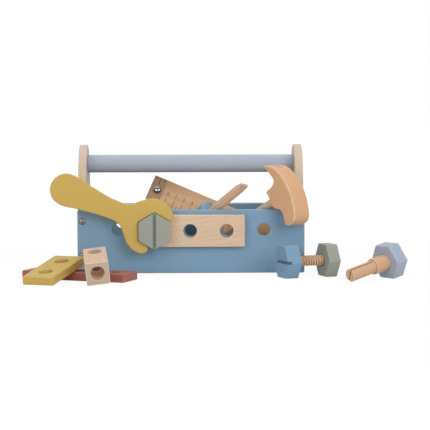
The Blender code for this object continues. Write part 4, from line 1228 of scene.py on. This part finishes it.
def wrench_points(wrench, jaw):
    """The wrench's outline round the bolt's axis, X out of the jaw whose flats lie at +-jaw."""
    corner = corner_radius(2 * jaw)
    size = wrench.jaw
    waist = wrench.waist / 2
    points = [(JAW_LONG_EDGE_SHARE * size, jaw, wrench.long_tip),
              (JAW_LONG_TIP_SHARES[0] * size, JAW_LONG_TIP_SHARES[1] * size, wrench.long_tip)]
    points += [(u * size, v * size, None) for u, v in JAW_BACK_SHARES]
    points += [(-u * wrench.reach, v * waist, None) for u, v in HANDLE_BACK_SHARES]
    points += [(wrench.bulb * math.cos(a) - wrench.reach, wrench.bulb * math.sin(a) - wrench.bulb_drop, None)
               for a in map(math.radians, BULB_ANGLES)]
    points += [(-u * wrench.reach, v * waist, None) for u, v in HANDLE_FRONT_SHARES]
    points += [(u * size, v * size, None) for u, v in JAW_FRONT_SHARES]
    points.append((JAW_SHORT_EDGE_SHARE * size, -jaw, wrench.short_tip / 2))
    points += [(-corner / 2, -jaw, 0), (-corner, 0, 0), (-corner / 2, jaw, 0)]
    return points


def make_wrench(settings):
    """The open wrench round the panel bolt's head."""
    box, wrench = settings.box, settings.wrench
    place = at(hole_places(box)[1], bolted_back(box, settings.strips), box.hole_height) @ FACING_VIEWER
    place = place @ turned_by(wrench.angle, "Z") @ at(0, 0, wrench.thickness / 2)
    jaw = settings.fasteners.flats / 2 + wrench.play

    def rounding_at(point):
        in_jaw = abs(point.y) < jaw + WELD and point.x > -corner_radius(2 * jaw) - WELD
        return wrench.jaw_round if in_jaw else wrench.round

    outline = outline_polygon(wrench_points(wrench, jaw))
    spanner = plate("open_wrench", outline, wrench.thickness, wrench.round, place, rounding_at)
    dress(spanner, "wrench_body", "mustard_paint", painted(settings.finishes, "mustard", "X"), "wrench")


# Tools in the box

def add_digit(bm, text, size, depth, place):
    """Add a number to a bmesh that gathers small marks."""
    lettering = bpy.data.curves.new("digit", "FONT")
    lettering.body = text
    lettering.size = size
    lettering.extrude = depth / 2
    lettering.align_x = "CENTER"
    lettering.align_y = "CENTER"
    lettering.resolution_u = DIGIT_STEPS
    mesh = mesh_of_curve(lettering)
    mesh.transform(place)
    bm.from_mesh(mesh)
    bpy.data.meshes.remove(mesh)


def ruler_marks(ruler, face, rebate_face, place):
    """Burnt marks and numbers on the front leg, and three marks on its thinned end."""
    relief = ruler.mark_relief
    half = ruler.mark_width / 2
    eased = ruler.eased
    count = int((ruler.length - ruler.first_mark) / ruler.division) + 1

    def build(bm):
        for i in range(2 * count - 1):
            x = ruler.first_mark + i * ruler.division / 2
            mark = ruler.long_mark if i % 2 == 0 else ruler.short_mark
            add_box(bm, (x - half, face - relief, eased), (x + half, face + relief, mark))
        for x, kind, share in END_MARKS:
            mark = share * getattr(ruler, kind)
            wide = END_MARK_WIDTH_SHARE * half
            add_box(bm, (x - wide, rebate_face - relief, ruler.width - mark),
                    (x + wide, rebate_face + relief, ruler.width - eased))
        for i in range(count):
            middle = at(ruler.first_mark + i * ruler.division, face, ruler.digit_height)
            add_digit(bm, str(i), ruler.digit, 2 * relief, middle @ FACING_VIEWER)
    return built_piece("ruler_marks", build, place)


def make_ruler_front(settings, place, rivet_bore, face, rebate_face):
    """The front leg, with painted shade where it is thinned round the rivet's head, and its burnt marks."""
    ruler, finishes = settings.ruler, settings.finishes
    heart = (0.030, 0.060)
    front = board("ruler_front_board", (0, face, 0), (ruler.length, face + ruler.leg, ruler.width), place,
                  ruler.eased)
    rebate = board("rebate", (-OVERRUN, face - OVERRUN, -OVERRUN),
                   (ruler.rebate, rebate_face, ruler.width + OVERRUN), place)
    carve(front, rebate, rivet_bore)
    wood = bare(finishes, "ruler_front_wood", "ruler", "X", heart, ring=0.0034, contrast=0.35)
    dress(front, "ruler_front", "beech", wood, "ruler_front_leg")
    # a darker copy of the wood as painted shade on the thinned end
    pale, deep = [REBATE_SHADE * Vector(tone) for tone in (finishes.ruler, finishes.ruler_deep)]
    front.data.materials.append(wood_finish("ruler_rebate_wood", pale, deep, "X", heart, finishes.relief))
    for polygon in front.data.polygons:
        if polygon.center.x < ruler.rebate + WELD and polygon.center.y < rebate_face + WELD:
            polygon.material_index = 1
    marks = ruler_marks(ruler, face, rebate_face, place)
    dress(marks, "ruler_front", "beech", burnt_finish("burnt_marks", finishes.burnt))


def make_ruler_rear(settings, place, rivet_bore):
    """The rear leg, round at the rivet's end."""
    ruler = settings.ruler
    half = ruler.width / 2
    start = math.acos(ruler.rivet_inset / half)
    swing = [start + (math.pi / 2 - start) * i / LIP_SEGMENTS for i in range(LIP_SEGMENTS + 1)]
    upper = [(ruler.rivet_inset - half * math.cos(a), half + half * math.sin(a)) for a in swing]
    lower = [(x, ruler.width - z) for x, z in upper]
    outline = [(ruler.length, 0), (ruler.length, ruler.width)] + upper[::-1] + lower
    rear = plate("ruler_rear_board", [Vector(point) for point in outline], ruler.leg, ruler.eased,
                 place @ (at(0, -ruler.leg / 2, 0) @ FACING_VIEWER))
    carve(rear, rivet_bore)
    wood = bare(settings.finishes, "ruler_rear_wood", "ruler", "X", (0.050, -0.040),
                ring=0.0034, contrast=0.35)
    dress(rear, "ruler_rear", "beech", wood, "ruler_rear_leg")


def make_rivet(settings, axis, seat):
    """The chrome rivet with its domed head seated on the thinned end and a flat button behind."""
    ruler = settings.ruler
    shank = ruler.rivet_shank / 2
    head = ruler.rivet_head / 2
    button = RIVET_BUTTON_SHARE * head
    bulge = ruler.rivet_button / 2
    profile = [(head * math.sin(a),
                seat + ruler.rivet_dome * (RIVET_RIM_SHARE + (1 - RIVET_RIM_SHARE) * math.cos(a)))
               for a in quarter_turn(DOME_STEPS)]
    profile += [(head, seat), (shank, seat), (shank, -TOUCH), (button, -TOUCH)]
    profile += arc_profile(button - bulge, -TOUCH - bulge, bulge, 0, -90)
    profile.append((0, -TOUCH - ruler.rivet_button))
    rivet = lathe("chrome_rivet", profile, axis, SMALL_STEPS)
    chrome = metal_finish("rivet_chrome", settings.finishes.chrome, (0.06, 0.14), 0.05, head)
    dress(rivet, "ruler_front", "chrome", chrome, "ruler_rivet")


def make_ruler(settings):
    """Two legs that fold on a chrome rivet."""
    ruler = settings.ruler
    place = ruler_place(settings.box, ruler)
    face = -ruler.leg - TOUCH - ruler.leg
    rebate_face = face + ruler.rebate_depth
    rivet_axis = place @ at(ruler.rivet_inset, 0, ruler.width / 2) @ AGAINST_Y
    rivet_hole = (rivet_axis, ruler.rivet_shank / 2 + TOUCH, -OVERRUN, OVERRUN - face)
    make_ruler_front(settings, place, bore(*rivet_hole), face, rebate_face)
    make_ruler_rear(settings, place, bore(*rivet_hole))
    make_rivet(settings, rivet_axis, TOUCH - rebate_face)


def tool_frame(origin, upward):
    """Local Z along a tool's axis, X level and square to it."""
    level = UP.cross(upward).normalized()
    return frame_from(origin, level, upward.cross(level), upward)


def screwdriver_place(box, driver):
    """The place of the handle's upper end, Z up the shaft, and the handle's length to the floor board."""
    upward = heading_vector(driver.heading, driver.pitch)
    radius = driver.handle / 2
    crossing = axis_over_panel(box, end_inside(box) - driver.from_end, upward, driver.shaft / 2)
    rim_reach = (radius - driver.round) * math.sqrt(1 - upward.y ** 2) + driver.round
    below = (rim_reach + TOUCH) / abs(upward.y) - driver.round
    shoulder = crossing - below * upward
    rim_drop = (radius - driver.round) * math.sqrt(1 - upward.z ** 2) + driver.round
    length = (shoulder.z - rim_drop - box.floor - TOUCH) / upward.z + driver.round
    return tool_frame(shoulder, upward) @ turned_by(driver.roll, "Z"), length


def grip_profile(driver, length):
    """A turned handle with rounded ends and three shallow grooves near its lower end."""
    radius = driver.handle / 2
    bulge = driver.round
    groove = driver.groove
    profile = [(0, 0)] + arc_profile(radius - bulge, -bulge, bulge, 90, 0, GRIP_SEGMENTS)
    for i in range(3):
        middle = -GRIP_GROOVES_SHARE * length - i * GRIP_PITCH_SHARE * groove
        profile += [(radius - depth * groove, middle + height * groove)
                    for depth, height in GRIP_GROOVE_SHARES]
    profile += arc_profile(radius - bulge, bulge - length, bulge, 0, -90, GRIP_SEGMENTS)
    profile.append((0, -length))
    return profile


def make_screwdriver(settings):
    """Blue turned handle and a wooden shaft that is sawn to a wedge."""
    driver, finishes = settings.screwdriver, settings.finishes
    place, length = screwdriver_place(settings.box, driver)
    shaft = driver.shaft / 2
    grip = lathe("driver_grip", grip_profile(driver, length), place)
    carve(grip, bore(place, shaft + TOUCH, -driver.socket - TOUCH, OVERRUN))
    dress(grip, "screwdriver", "blue_paint", painted(finishes, "blue", "Z"), "screwdriver_handle")

    blade = lathe("driver_shaft", dowel_profile(shaft, -driver.socket, driver.reach, SHARP), place)
    slant = math.atan2(shaft - driver.tip / 2, driver.taper)
    cutters = []
    for side in (1, -1):
        tip = at(0, side * driver.tip / 2, driver.reach) @ turned_by(side * slant, "X")
        low, high = sorted((0, side * driver.shaft))
        cutters.append(board("wedge", (-driver.shaft, low, -driver.taper - driver.shaft),
                             (driver.shaft, high, OVERRUN), place @ tip))
    carve(blade, *cutters)
    wood = bare(finishes, "driver_shaft_wood", "beech", "Z", (0.03, 0.02), ring=0.002)
    dress(blade, "screwdriver", "beech", wood, "screwdriver_shaft")


def hammer_place(box, hammer):
    """The head's frame (X to the claw, Y down the handle, Z out of the flat side) and the handle's length."""
    down = heading_vector(hammer.heading, -hammer.pitch)
    radius = hammer.handle / 2
    crossing = axis_over_panel(box, end_inside(box) - hammer.from_end, down, radius)
    rim_drop = radius * math.sqrt(1 - down.z ** 2)
    to_floor = (crossing.z - rim_drop - box.floor - TOUCH) / abs(down.z)
    towards_viewer = Vector((-math.sin(hammer.face_turn), -math.cos(hammer.face_turn), hammer.face_rise))
    face = (towards_viewer - towards_viewer.dot(down) * down).normalized()
    clawward = down.cross(face)
    centre = crossing - hammer.reach * down - hammer.axis_rise * clawward
    length = to_floor + hammer.reach - hammer.half_depth + hammer.socket
    return frame_from(centre, clawward, down, face), length


def make_hammer(settings):
    """A sawn head with a notched claw on a round handle."""
    hammer, finishes = settings.hammer, settings.finishes
    place, length = hammer_place(settings.box, hammer)
    radius = hammer.handle / 2
    points = [(u * hammer.half_length, v * hammer.half_depth, None) for u, v in HAMMER_SHARES]
    head = plate("claw_head", outline_polygon(points), hammer.thickness, hammer.round, place)
    tip = HAMMER_SHARES[0][0] * hammer.half_length
    flare = hammer.claw_width / 2 * (1 + OVERRUN / hammer.claw_depth)
    notch = prism("notch", ((tip + OVERRUN, flare), (tip - hammer.claw_depth, 0), (tip + OVERRUN, -flare)),
                  -2 * hammer.half_depth, 2 * hammer.half_depth, place @ turned_by(math.radians(90), "X"))
    stick_place = place @ at(hammer.axis_rise, hammer.half_depth - hammer.socket, 0) @ ALONG_Y
    carve(head, notch, bore(stick_place, radius + TOUCH, -TOUCH, hammer.socket + hammer.half_depth))
    wood = bare(finishes, "claw_head_wood", "hammer", "X", (0.045, 0.035),
                ring=0.0034, contrast=0.22, slant=0.25)
    dress(head, "hammer", "beech", wood, "hammer_head")
    stick = lathe("hammer_stick", dowel_profile(radius, 0, length, settings.box.eased / 2), stick_place)
    stick_wood = bare(finishes, "hammer_stick_wood", "beech", "Z", (0.02, 0.03), ring=0.002)
    dress(stick, "hammer", "beech", stick_wood, "hammer_handle")


# Pieces in front of the box

def make_floor_strips(settings):
    """The red strip on the floor and the yellow strip that leans on it."""
    box, strips, finishes = settings.box, settings.strips, settings.finishes
    along = heading_vector(strips.red_heading)
    first_hole = Vector((strips.red_x, strips.red_y, 0)) - box.pitch * along
    red = make_strip(settings, "long_red_strip", frame_from(first_hole, along, left_of(along), UP), 3)
    dress(red, "red_strip_body", "red_paint", painted(finishes, "red", "X"), "red_strip")
    slope = ramp_place(strips, -strips.yellow_along, strips.yellow_foot, strips.yellow_heading)
    yellow = make_strip(settings, "short_yellow_strip", slope @ at(strips.margin, 0, 0), 2)
    dress(yellow, "yellow_strip_body", "mustard_paint", painted(finishes, "mustard", "X"), "yellow_strip")


def make_block(settings):
    """The square block with a long bore and a cross bore."""
    box, strips = settings.box, settings.strips
    place = ramp_place(strips, strips.block_along, strips.block_foot, strips.block_heading)
    middle = strips.section / 2
    radius = strips.hole / 2
    block = board("bored_block", (0, -strips.section, 0), (strips.block, 0, strips.section), place, box.eased)
    carve(block, hole(place @ at(0, -middle, middle) @ ALONG_X, radius, 0, strips.block, box.lip),
          hole(place @ at(strips.block - strips.cross_bore, -middle, 0), radius, 0, strips.section, box.lip))
    wood = bare(settings.finishes, "bored_block_wood", "maple", "X", (0.018, 0.030), ring=0.0030,
                tint=END_GRAIN_AND_SHADE)
    dress(block, "drilled_block_body", "pale_wood", wood, "drilled_block")


def make_loose_bolt(settings):
    """The blue bolt and its grey nut, both lying on a flat of their hexagons."""
    fasteners, loose = settings.fasteners, settings.loose
    along = heading_vector(loose.bolt_heading)
    place = frame_from(Vector((loose.bolt_x, loose.bolt_y, fasteners.flats / 2)), UP, -left_of(along), along)
    make_bolt(settings, ("blue_hexagon", "blue_bolt_thread"), ("loose_bolt_head", "loose_bolt_shank"),
              "loose_bolt", place, "blue", (0.015, 0.025), loose.head_extra)
    make_nut(settings, "loose_grey_nut", "loose_nut", "loose_nut_body",
             place @ at(0, 0, fasteners.head + loose.nut_gap))


def peg_place(fasteners, loose):
    """Local X up, local Z from the head's outer face towards the peg's tip."""
    pitch = math.atan2(loose.peg_flats / 2 - loose.peg_narrow / 2, loose.peg_length)
    towards_tip = heading_vector(loose.peg_heading + math.pi, -pitch)
    level = UP.cross(towards_tip).normalized()
    upright = towards_tip.cross(level)
    inner_face = Vector((loose.peg_x, loose.peg_y, loose.peg_flats / 2 * upright.z))
    outer_face = inner_face - fasteners.head * towards_tip
    return frame_from(outer_face, upright, towards_tip.cross(upright), towards_tip)


def make_peg(settings):
    """A hexagon head on a stepped peg with a saw cut."""
    fasteners, loose, finishes = settings.fasteners, settings.loose, settings.finishes
    place = peg_place(fasteners, loose)
    wide = loose.peg_wide / 2
    narrow = loose.peg_narrow / 2
    socket = fasteners.head - fasteners.socket
    head = hexagon("peg_hexagon", loose.peg_flats, fasteners.head, fasteners.hex_round, place)
    carve(head, bore(place, wide + TOUCH, socket - TOUCH, fasteners.head + OVERRUN))
    dress(head, "peg", "periwinkle_paint", painted(finishes, "periwinkle", "Z"), "peg_head")

    step = fasteners.head + loose.peg_wide_length
    end = fasteners.head + loose.peg_length
    eased = settings.box.eased
    shoulder = PEG_SHOULDER_SHARE * eased
    profile = [(0, end)] + arc_profile(narrow - eased, end - eased, eased, 90, 0)
    # A tiny square groove in the step's corner, so that the facets beside it don't count as a rounded edge
    profile += [(narrow, step + TOUCH), (narrow - TOUCH, step + TOUCH), (narrow - TOUCH, step)]
    profile += arc_profile(wide - shoulder, step - shoulder, shoulder, 90, 0)
    profile += [(wide, socket), (0, socket)]
    peg = lathe("slit_peg", profile, place)
    half = loose.peg_split / 2
    reach = wide + OVERRUN
    carve(peg, board("split", (-reach, -half, step + eased), (reach, half, end + OVERRUN),
                     place @ turned_by(loose.peg_split_turn, "Z")))
    wood = bare(finishes, "slit_peg_wood", "beech", "Z", (0.020, 0.012), ring=0.0022)
    dress(peg, "peg", "beech", wood, "split_peg")


# Stage

def seen_directly(tree):
    """1 for rays that show the background itself: straight from the camera, mirrored or through glass."""
    rays = node(tree, "LightPath").outputs
    either = calculate(tree, "MAXIMUM", rays["Is Camera Ray"], rays["Is Glossy Ray"])
    return calculate(tree, "MAXIMUM", either, rays["Is Transmission Ray"])


def cleared_tree(owner):
    """The empty shader tree of a world or a material."""
    owner.use_nodes = True
    owner.node_tree.nodes.clear()
    return owner.node_tree


def make_world(studio):
    """White where it is seen, and a plain soft light for everything else."""
    world = bpy.data.worlds.new("studio")
    bpy.context.scene.world = world
    tree = cleared_tree(world)
    white = node(tree, "Background", {"Color": WHITE, "Strength": 1.0})
    light = node(tree, "Background", {"Color": WHITE, "Strength": studio.world})
    mixed = node(tree, "MixShader", {0: seen_directly(tree), 1: light.outputs[0], 2: white.outputs[0]})
    node(tree, "OutputWorld", {"Surface": mixed.outputs[0]})


def make_floor(studio):
    """A white floor that keeps the object's soft shadow and is pure white further out."""
    floor = board("studio_floor", (-FLOOR_REACH, -FLOOR_REACH, -FLOOR_BOTTOM),
                  (FLOOR_REACH, FLOOR_REACH, -FLOOR_TOP), IN_PLACE)
    material = bpy.data.materials.new("studio_floor")
    tree = cleared_tree(material)
    fading = remap(tree, distance_from_origin(tree, own_coordinates(tree)), SHADOW_FADE, (studio.shadow, 0.0))
    glow = calculate(tree, "SUBTRACT", FLOOR_GLOW, calculate(tree, "MULTIPLY", fading, SHADOW_DIMMING))
    tint = node(tree, "CombineXYZ", {0: fading, 1: fading, 2: fading})
    shaded = node(tree, "BsdfDiffuse", {"Color": tint.outputs[0]})
    bright = node(tree, "Emission", {"Color": WHITE, "Strength": glow})
    shown = node(tree, "AddShader", {0: shaded.outputs[0], 1: bright.outputs[0]})
    plain = node(tree, "BsdfDiffuse", {"Color": (studio.bounce,) * 3 + (1,)})
    mixed = node(tree, "MixShader", {0: seen_directly(tree), 1: plain.outputs[0], 2: shown.outputs[0]})
    node(tree, "OutputMaterial", {"Surface": mixed.outputs[0]})
    floor.data.materials.append(material)


def make_lamp(name, place, target, size, power):
    """A square soft lamp aimed at a point."""
    lamp = bpy.data.lights.new(name, "AREA")
    lamp.shape = "SQUARE"
    lamp.size = size
    lamp.energy = power
    aim = (Vector(target) - Vector(place)).to_track_quat("-Z", "Y")
    new_piece(name, lamp, at(*place) @ aim.to_matrix().to_4x4())


def make_camera(studio):
    """The photograph's viewpoint."""
    camera = bpy.data.cameras.new("camera")
    camera.lens = studio.lens
    camera.sensor_width = SENSOR_WIDTH
    camera.clip_start = CLIP_START
    sin_yaw, cos_yaw = math.sin(studio.camera_yaw), math.cos(studio.camera_yaw)
    sin_pitch, cos_pitch = math.sin(studio.camera_pitch), math.cos(studio.camera_pitch)
    forward = Vector((sin_yaw * cos_pitch, cos_yaw * cos_pitch, -sin_pitch))
    level = Vector((cos_yaw, -sin_yaw, 0))
    right = math.cos(studio.camera_roll) * level + math.sin(studio.camera_roll) * level.cross(forward)
    place = Vector((studio.camera_x, studio.camera_y, studio.camera_z))
    view = frame_from(place, right, right.cross(forward), -forward)
    bpy.context.scene.camera = new_piece("camera", camera, view)


def make_studio(settings):
    """Camera, lamps, world and floor."""
    studio = settings.studio
    make_camera(studio)
    make_world(studio)
    make_floor(studio)
    for name, place, target, size in LAMPS:
        make_lamp(name + "_lamp", place, target, size, getattr(studio, name))
    bpy.context.scene.view_settings.view_transform = "Standard"


# Operators

class TOOLBOX_OT_boards(Operator):
    """Build the floor board, the two long panels and the arched ends"""
    bl_idname = "toolbox.boards"
    bl_label = "Boards"

    def execute(self, context):
        make_boards(context.scene.toy_tool_box)
        make_ends(context.scene.toy_tool_box)
        return {"FINISHED"}


class TOOLBOX_OT_bar(Operator):
    """Build the round carrying bar"""
    bl_idname = "toolbox.bar"
    bl_label = "Carrying Bar"

    def execute(self, context):
        make_bar(context.scene.toy_tool_box)
        return {"FINISHED"}


class TOOLBOX_OT_screws(Operator):
    """Build the wood screws that hold the box together"""
    bl_idname = "toolbox.screws"
    bl_label = "Wood Screws"

    def execute(self, context):
        make_screws(context.scene.toy_tool_box)
        return {"FINISHED"}


class TOOLBOX_OT_panel_bolt(Operator):
    """Build the grey bolt through the front panel and its nut"""
    bl_idname = "toolbox.panel_bolt"
    bl_label = "Panel Bolt and Nut"

    def execute(self, context):
        make_panel_bolt(context.scene.toy_tool_box)
        return {"FINISHED"}


class TOOLBOX_OT_hanging_strip(Operator):
    """Build the bare strip that hangs on the panel bolt"""
    bl_idname = "toolbox.hanging_strip"
    bl_label = "Hanging Strip"

    def execute(self, context):
        make_hanging_strip(context.scene.toy_tool_box)
        return {"FINISHED"}


class TOOLBOX_OT_wrench(Operator):
    """Build the yellow open wrench"""
    bl_idname = "toolbox.wrench"
    bl_label = "Wrench"

    def execute(self, context):
        make_wrench(context.scene.toy_tool_box)
        return {"FINISHED"}


class TOOLBOX_OT_ruler(Operator):
    """Build the folding ruler with its rivet and burnt marks"""
    bl_idname = "toolbox.ruler"
    bl_label = "Folding Ruler"

    def execute(self, context):
        make_ruler(context.scene.toy_tool_box)
        return {"FINISHED"}


class TOOLBOX_OT_screwdriver(Operator):
    """Build the screwdriver"""
    bl_idname = "toolbox.screwdriver"
    bl_label = "Screwdriver"

    def execute(self, context):
        make_screwdriver(context.scene.toy_tool_box)
        return {"FINISHED"}


class TOOLBOX_OT_hammer(Operator):
    """Build the claw hammer"""
    bl_idname = "toolbox.hammer"
    bl_label = "Hammer"

    def execute(self, context):
        make_hammer(context.scene.toy_tool_box)
        return {"FINISHED"}


class TOOLBOX_OT_floor_strips(Operator):
    """Build the red and yellow strips in front of the box"""
    bl_idname = "toolbox.floor_strips"
    bl_label = "Red and Yellow Strips"

    def execute(self, context):
        make_floor_strips(context.scene.toy_tool_box)
        return {"FINISHED"}


class TOOLBOX_OT_block(Operator):
    """Build the drilled block"""
    bl_idname = "toolbox.block"
    bl_label = "Drilled Block"

    def execute(self, context):
        make_block(context.scene.toy_tool_box)
        return {"FINISHED"}


class TOOLBOX_OT_loose_bolt(Operator):
    """Build the blue bolt and its grey nut"""
    bl_idname = "toolbox.loose_bolt"
    bl_label = "Loose Bolt and Nut"

    def execute(self, context):
        make_loose_bolt(context.scene.toy_tool_box)
        return {"FINISHED"}


class TOOLBOX_OT_peg(Operator):
    """Build the split peg with its hexagon head"""
    bl_idname = "toolbox.peg"
    bl_label = "Split Peg"

    def execute(self, context):
        make_peg(context.scene.toy_tool_box)
        return {"FINISHED"}


class TOOLBOX_OT_studio(Operator):
    """Set up the camera, the lamps and the white floor"""
    bl_idname = "toolbox.studio"
    bl_label = "Studio"

    def execute(self, context):
        make_studio(context.scene.toy_tool_box)
        return {"FINISHED"}


GROUPS = (BoxSizes, FastenerSizes, StripSizes, WrenchSizes, RulerSizes, ScrewdriverSizes, HammerSizes,
          LoosePieceSizes, FinishColours, StudioSettings, ToolBoxSettings)
STEPS = (TOOLBOX_OT_boards, TOOLBOX_OT_bar, TOOLBOX_OT_screws, TOOLBOX_OT_panel_bolt,
         TOOLBOX_OT_hanging_strip, TOOLBOX_OT_wrench, TOOLBOX_OT_ruler, TOOLBOX_OT_screwdriver,
         TOOLBOX_OT_hammer, TOOLBOX_OT_floor_strips, TOOLBOX_OT_block, TOOLBOX_OT_loose_bolt,
         TOOLBOX_OT_peg, TOOLBOX_OT_studio)


class TOOLBOX_PT_sidebar(Panel):
    """Lists the building steps in order, and the values that they use"""
    bl_idname = "TOOLBOX_PT_sidebar"
    bl_label = "Toy Tool Box"
    bl_space_type = "VIEW_3D"
    bl_region_type = "UI"
    bl_category = "Tool Box"

    def draw(self, context):
        for step in STEPS:
            self.layout.operator(step.bl_idname)
        settings = context.scene.toy_tool_box
        for group_name in ToolBoxSettings.__annotations__:
            section = self.layout.box()
            section.label(text=group_name.capitalize())
            group = getattr(settings, group_name)
            for value_name in type(group).__annotations__:
                section.prop(group, value_name)


def register():
    for group in (*GROUPS, *STEPS, TOOLBOX_PT_sidebar):
        bpy.utils.register_class(group)
    bpy.types.Scene.toy_tool_box = PointerProperty(type=ToolBoxSettings)


def unregister():
    del bpy.types.Scene.toy_tool_box
    for group in reversed((*GROUPS, *STEPS, TOOLBOX_PT_sidebar)):
        bpy.utils.unregister_class(group)


def main():
    register()
    bpy.ops.toolbox.boards()
    bpy.ops.toolbox.bar()
    bpy.ops.toolbox.screws()
    bpy.ops.toolbox.panel_bolt()
    bpy.ops.toolbox.hanging_strip()
    bpy.ops.toolbox.wrench()
    bpy.ops.toolbox.ruler()
    bpy.ops.toolbox.screwdriver()
    bpy.ops.toolbox.hammer()
    bpy.ops.toolbox.floor_strips()
    bpy.ops.toolbox.block()
    bpy.ops.toolbox.loose_bolt()
    bpy.ops.toolbox.peg()
    bpy.ops.toolbox.studio()
    bpy.context.view_layer.update()


if __name__ == "__main__":
    main()
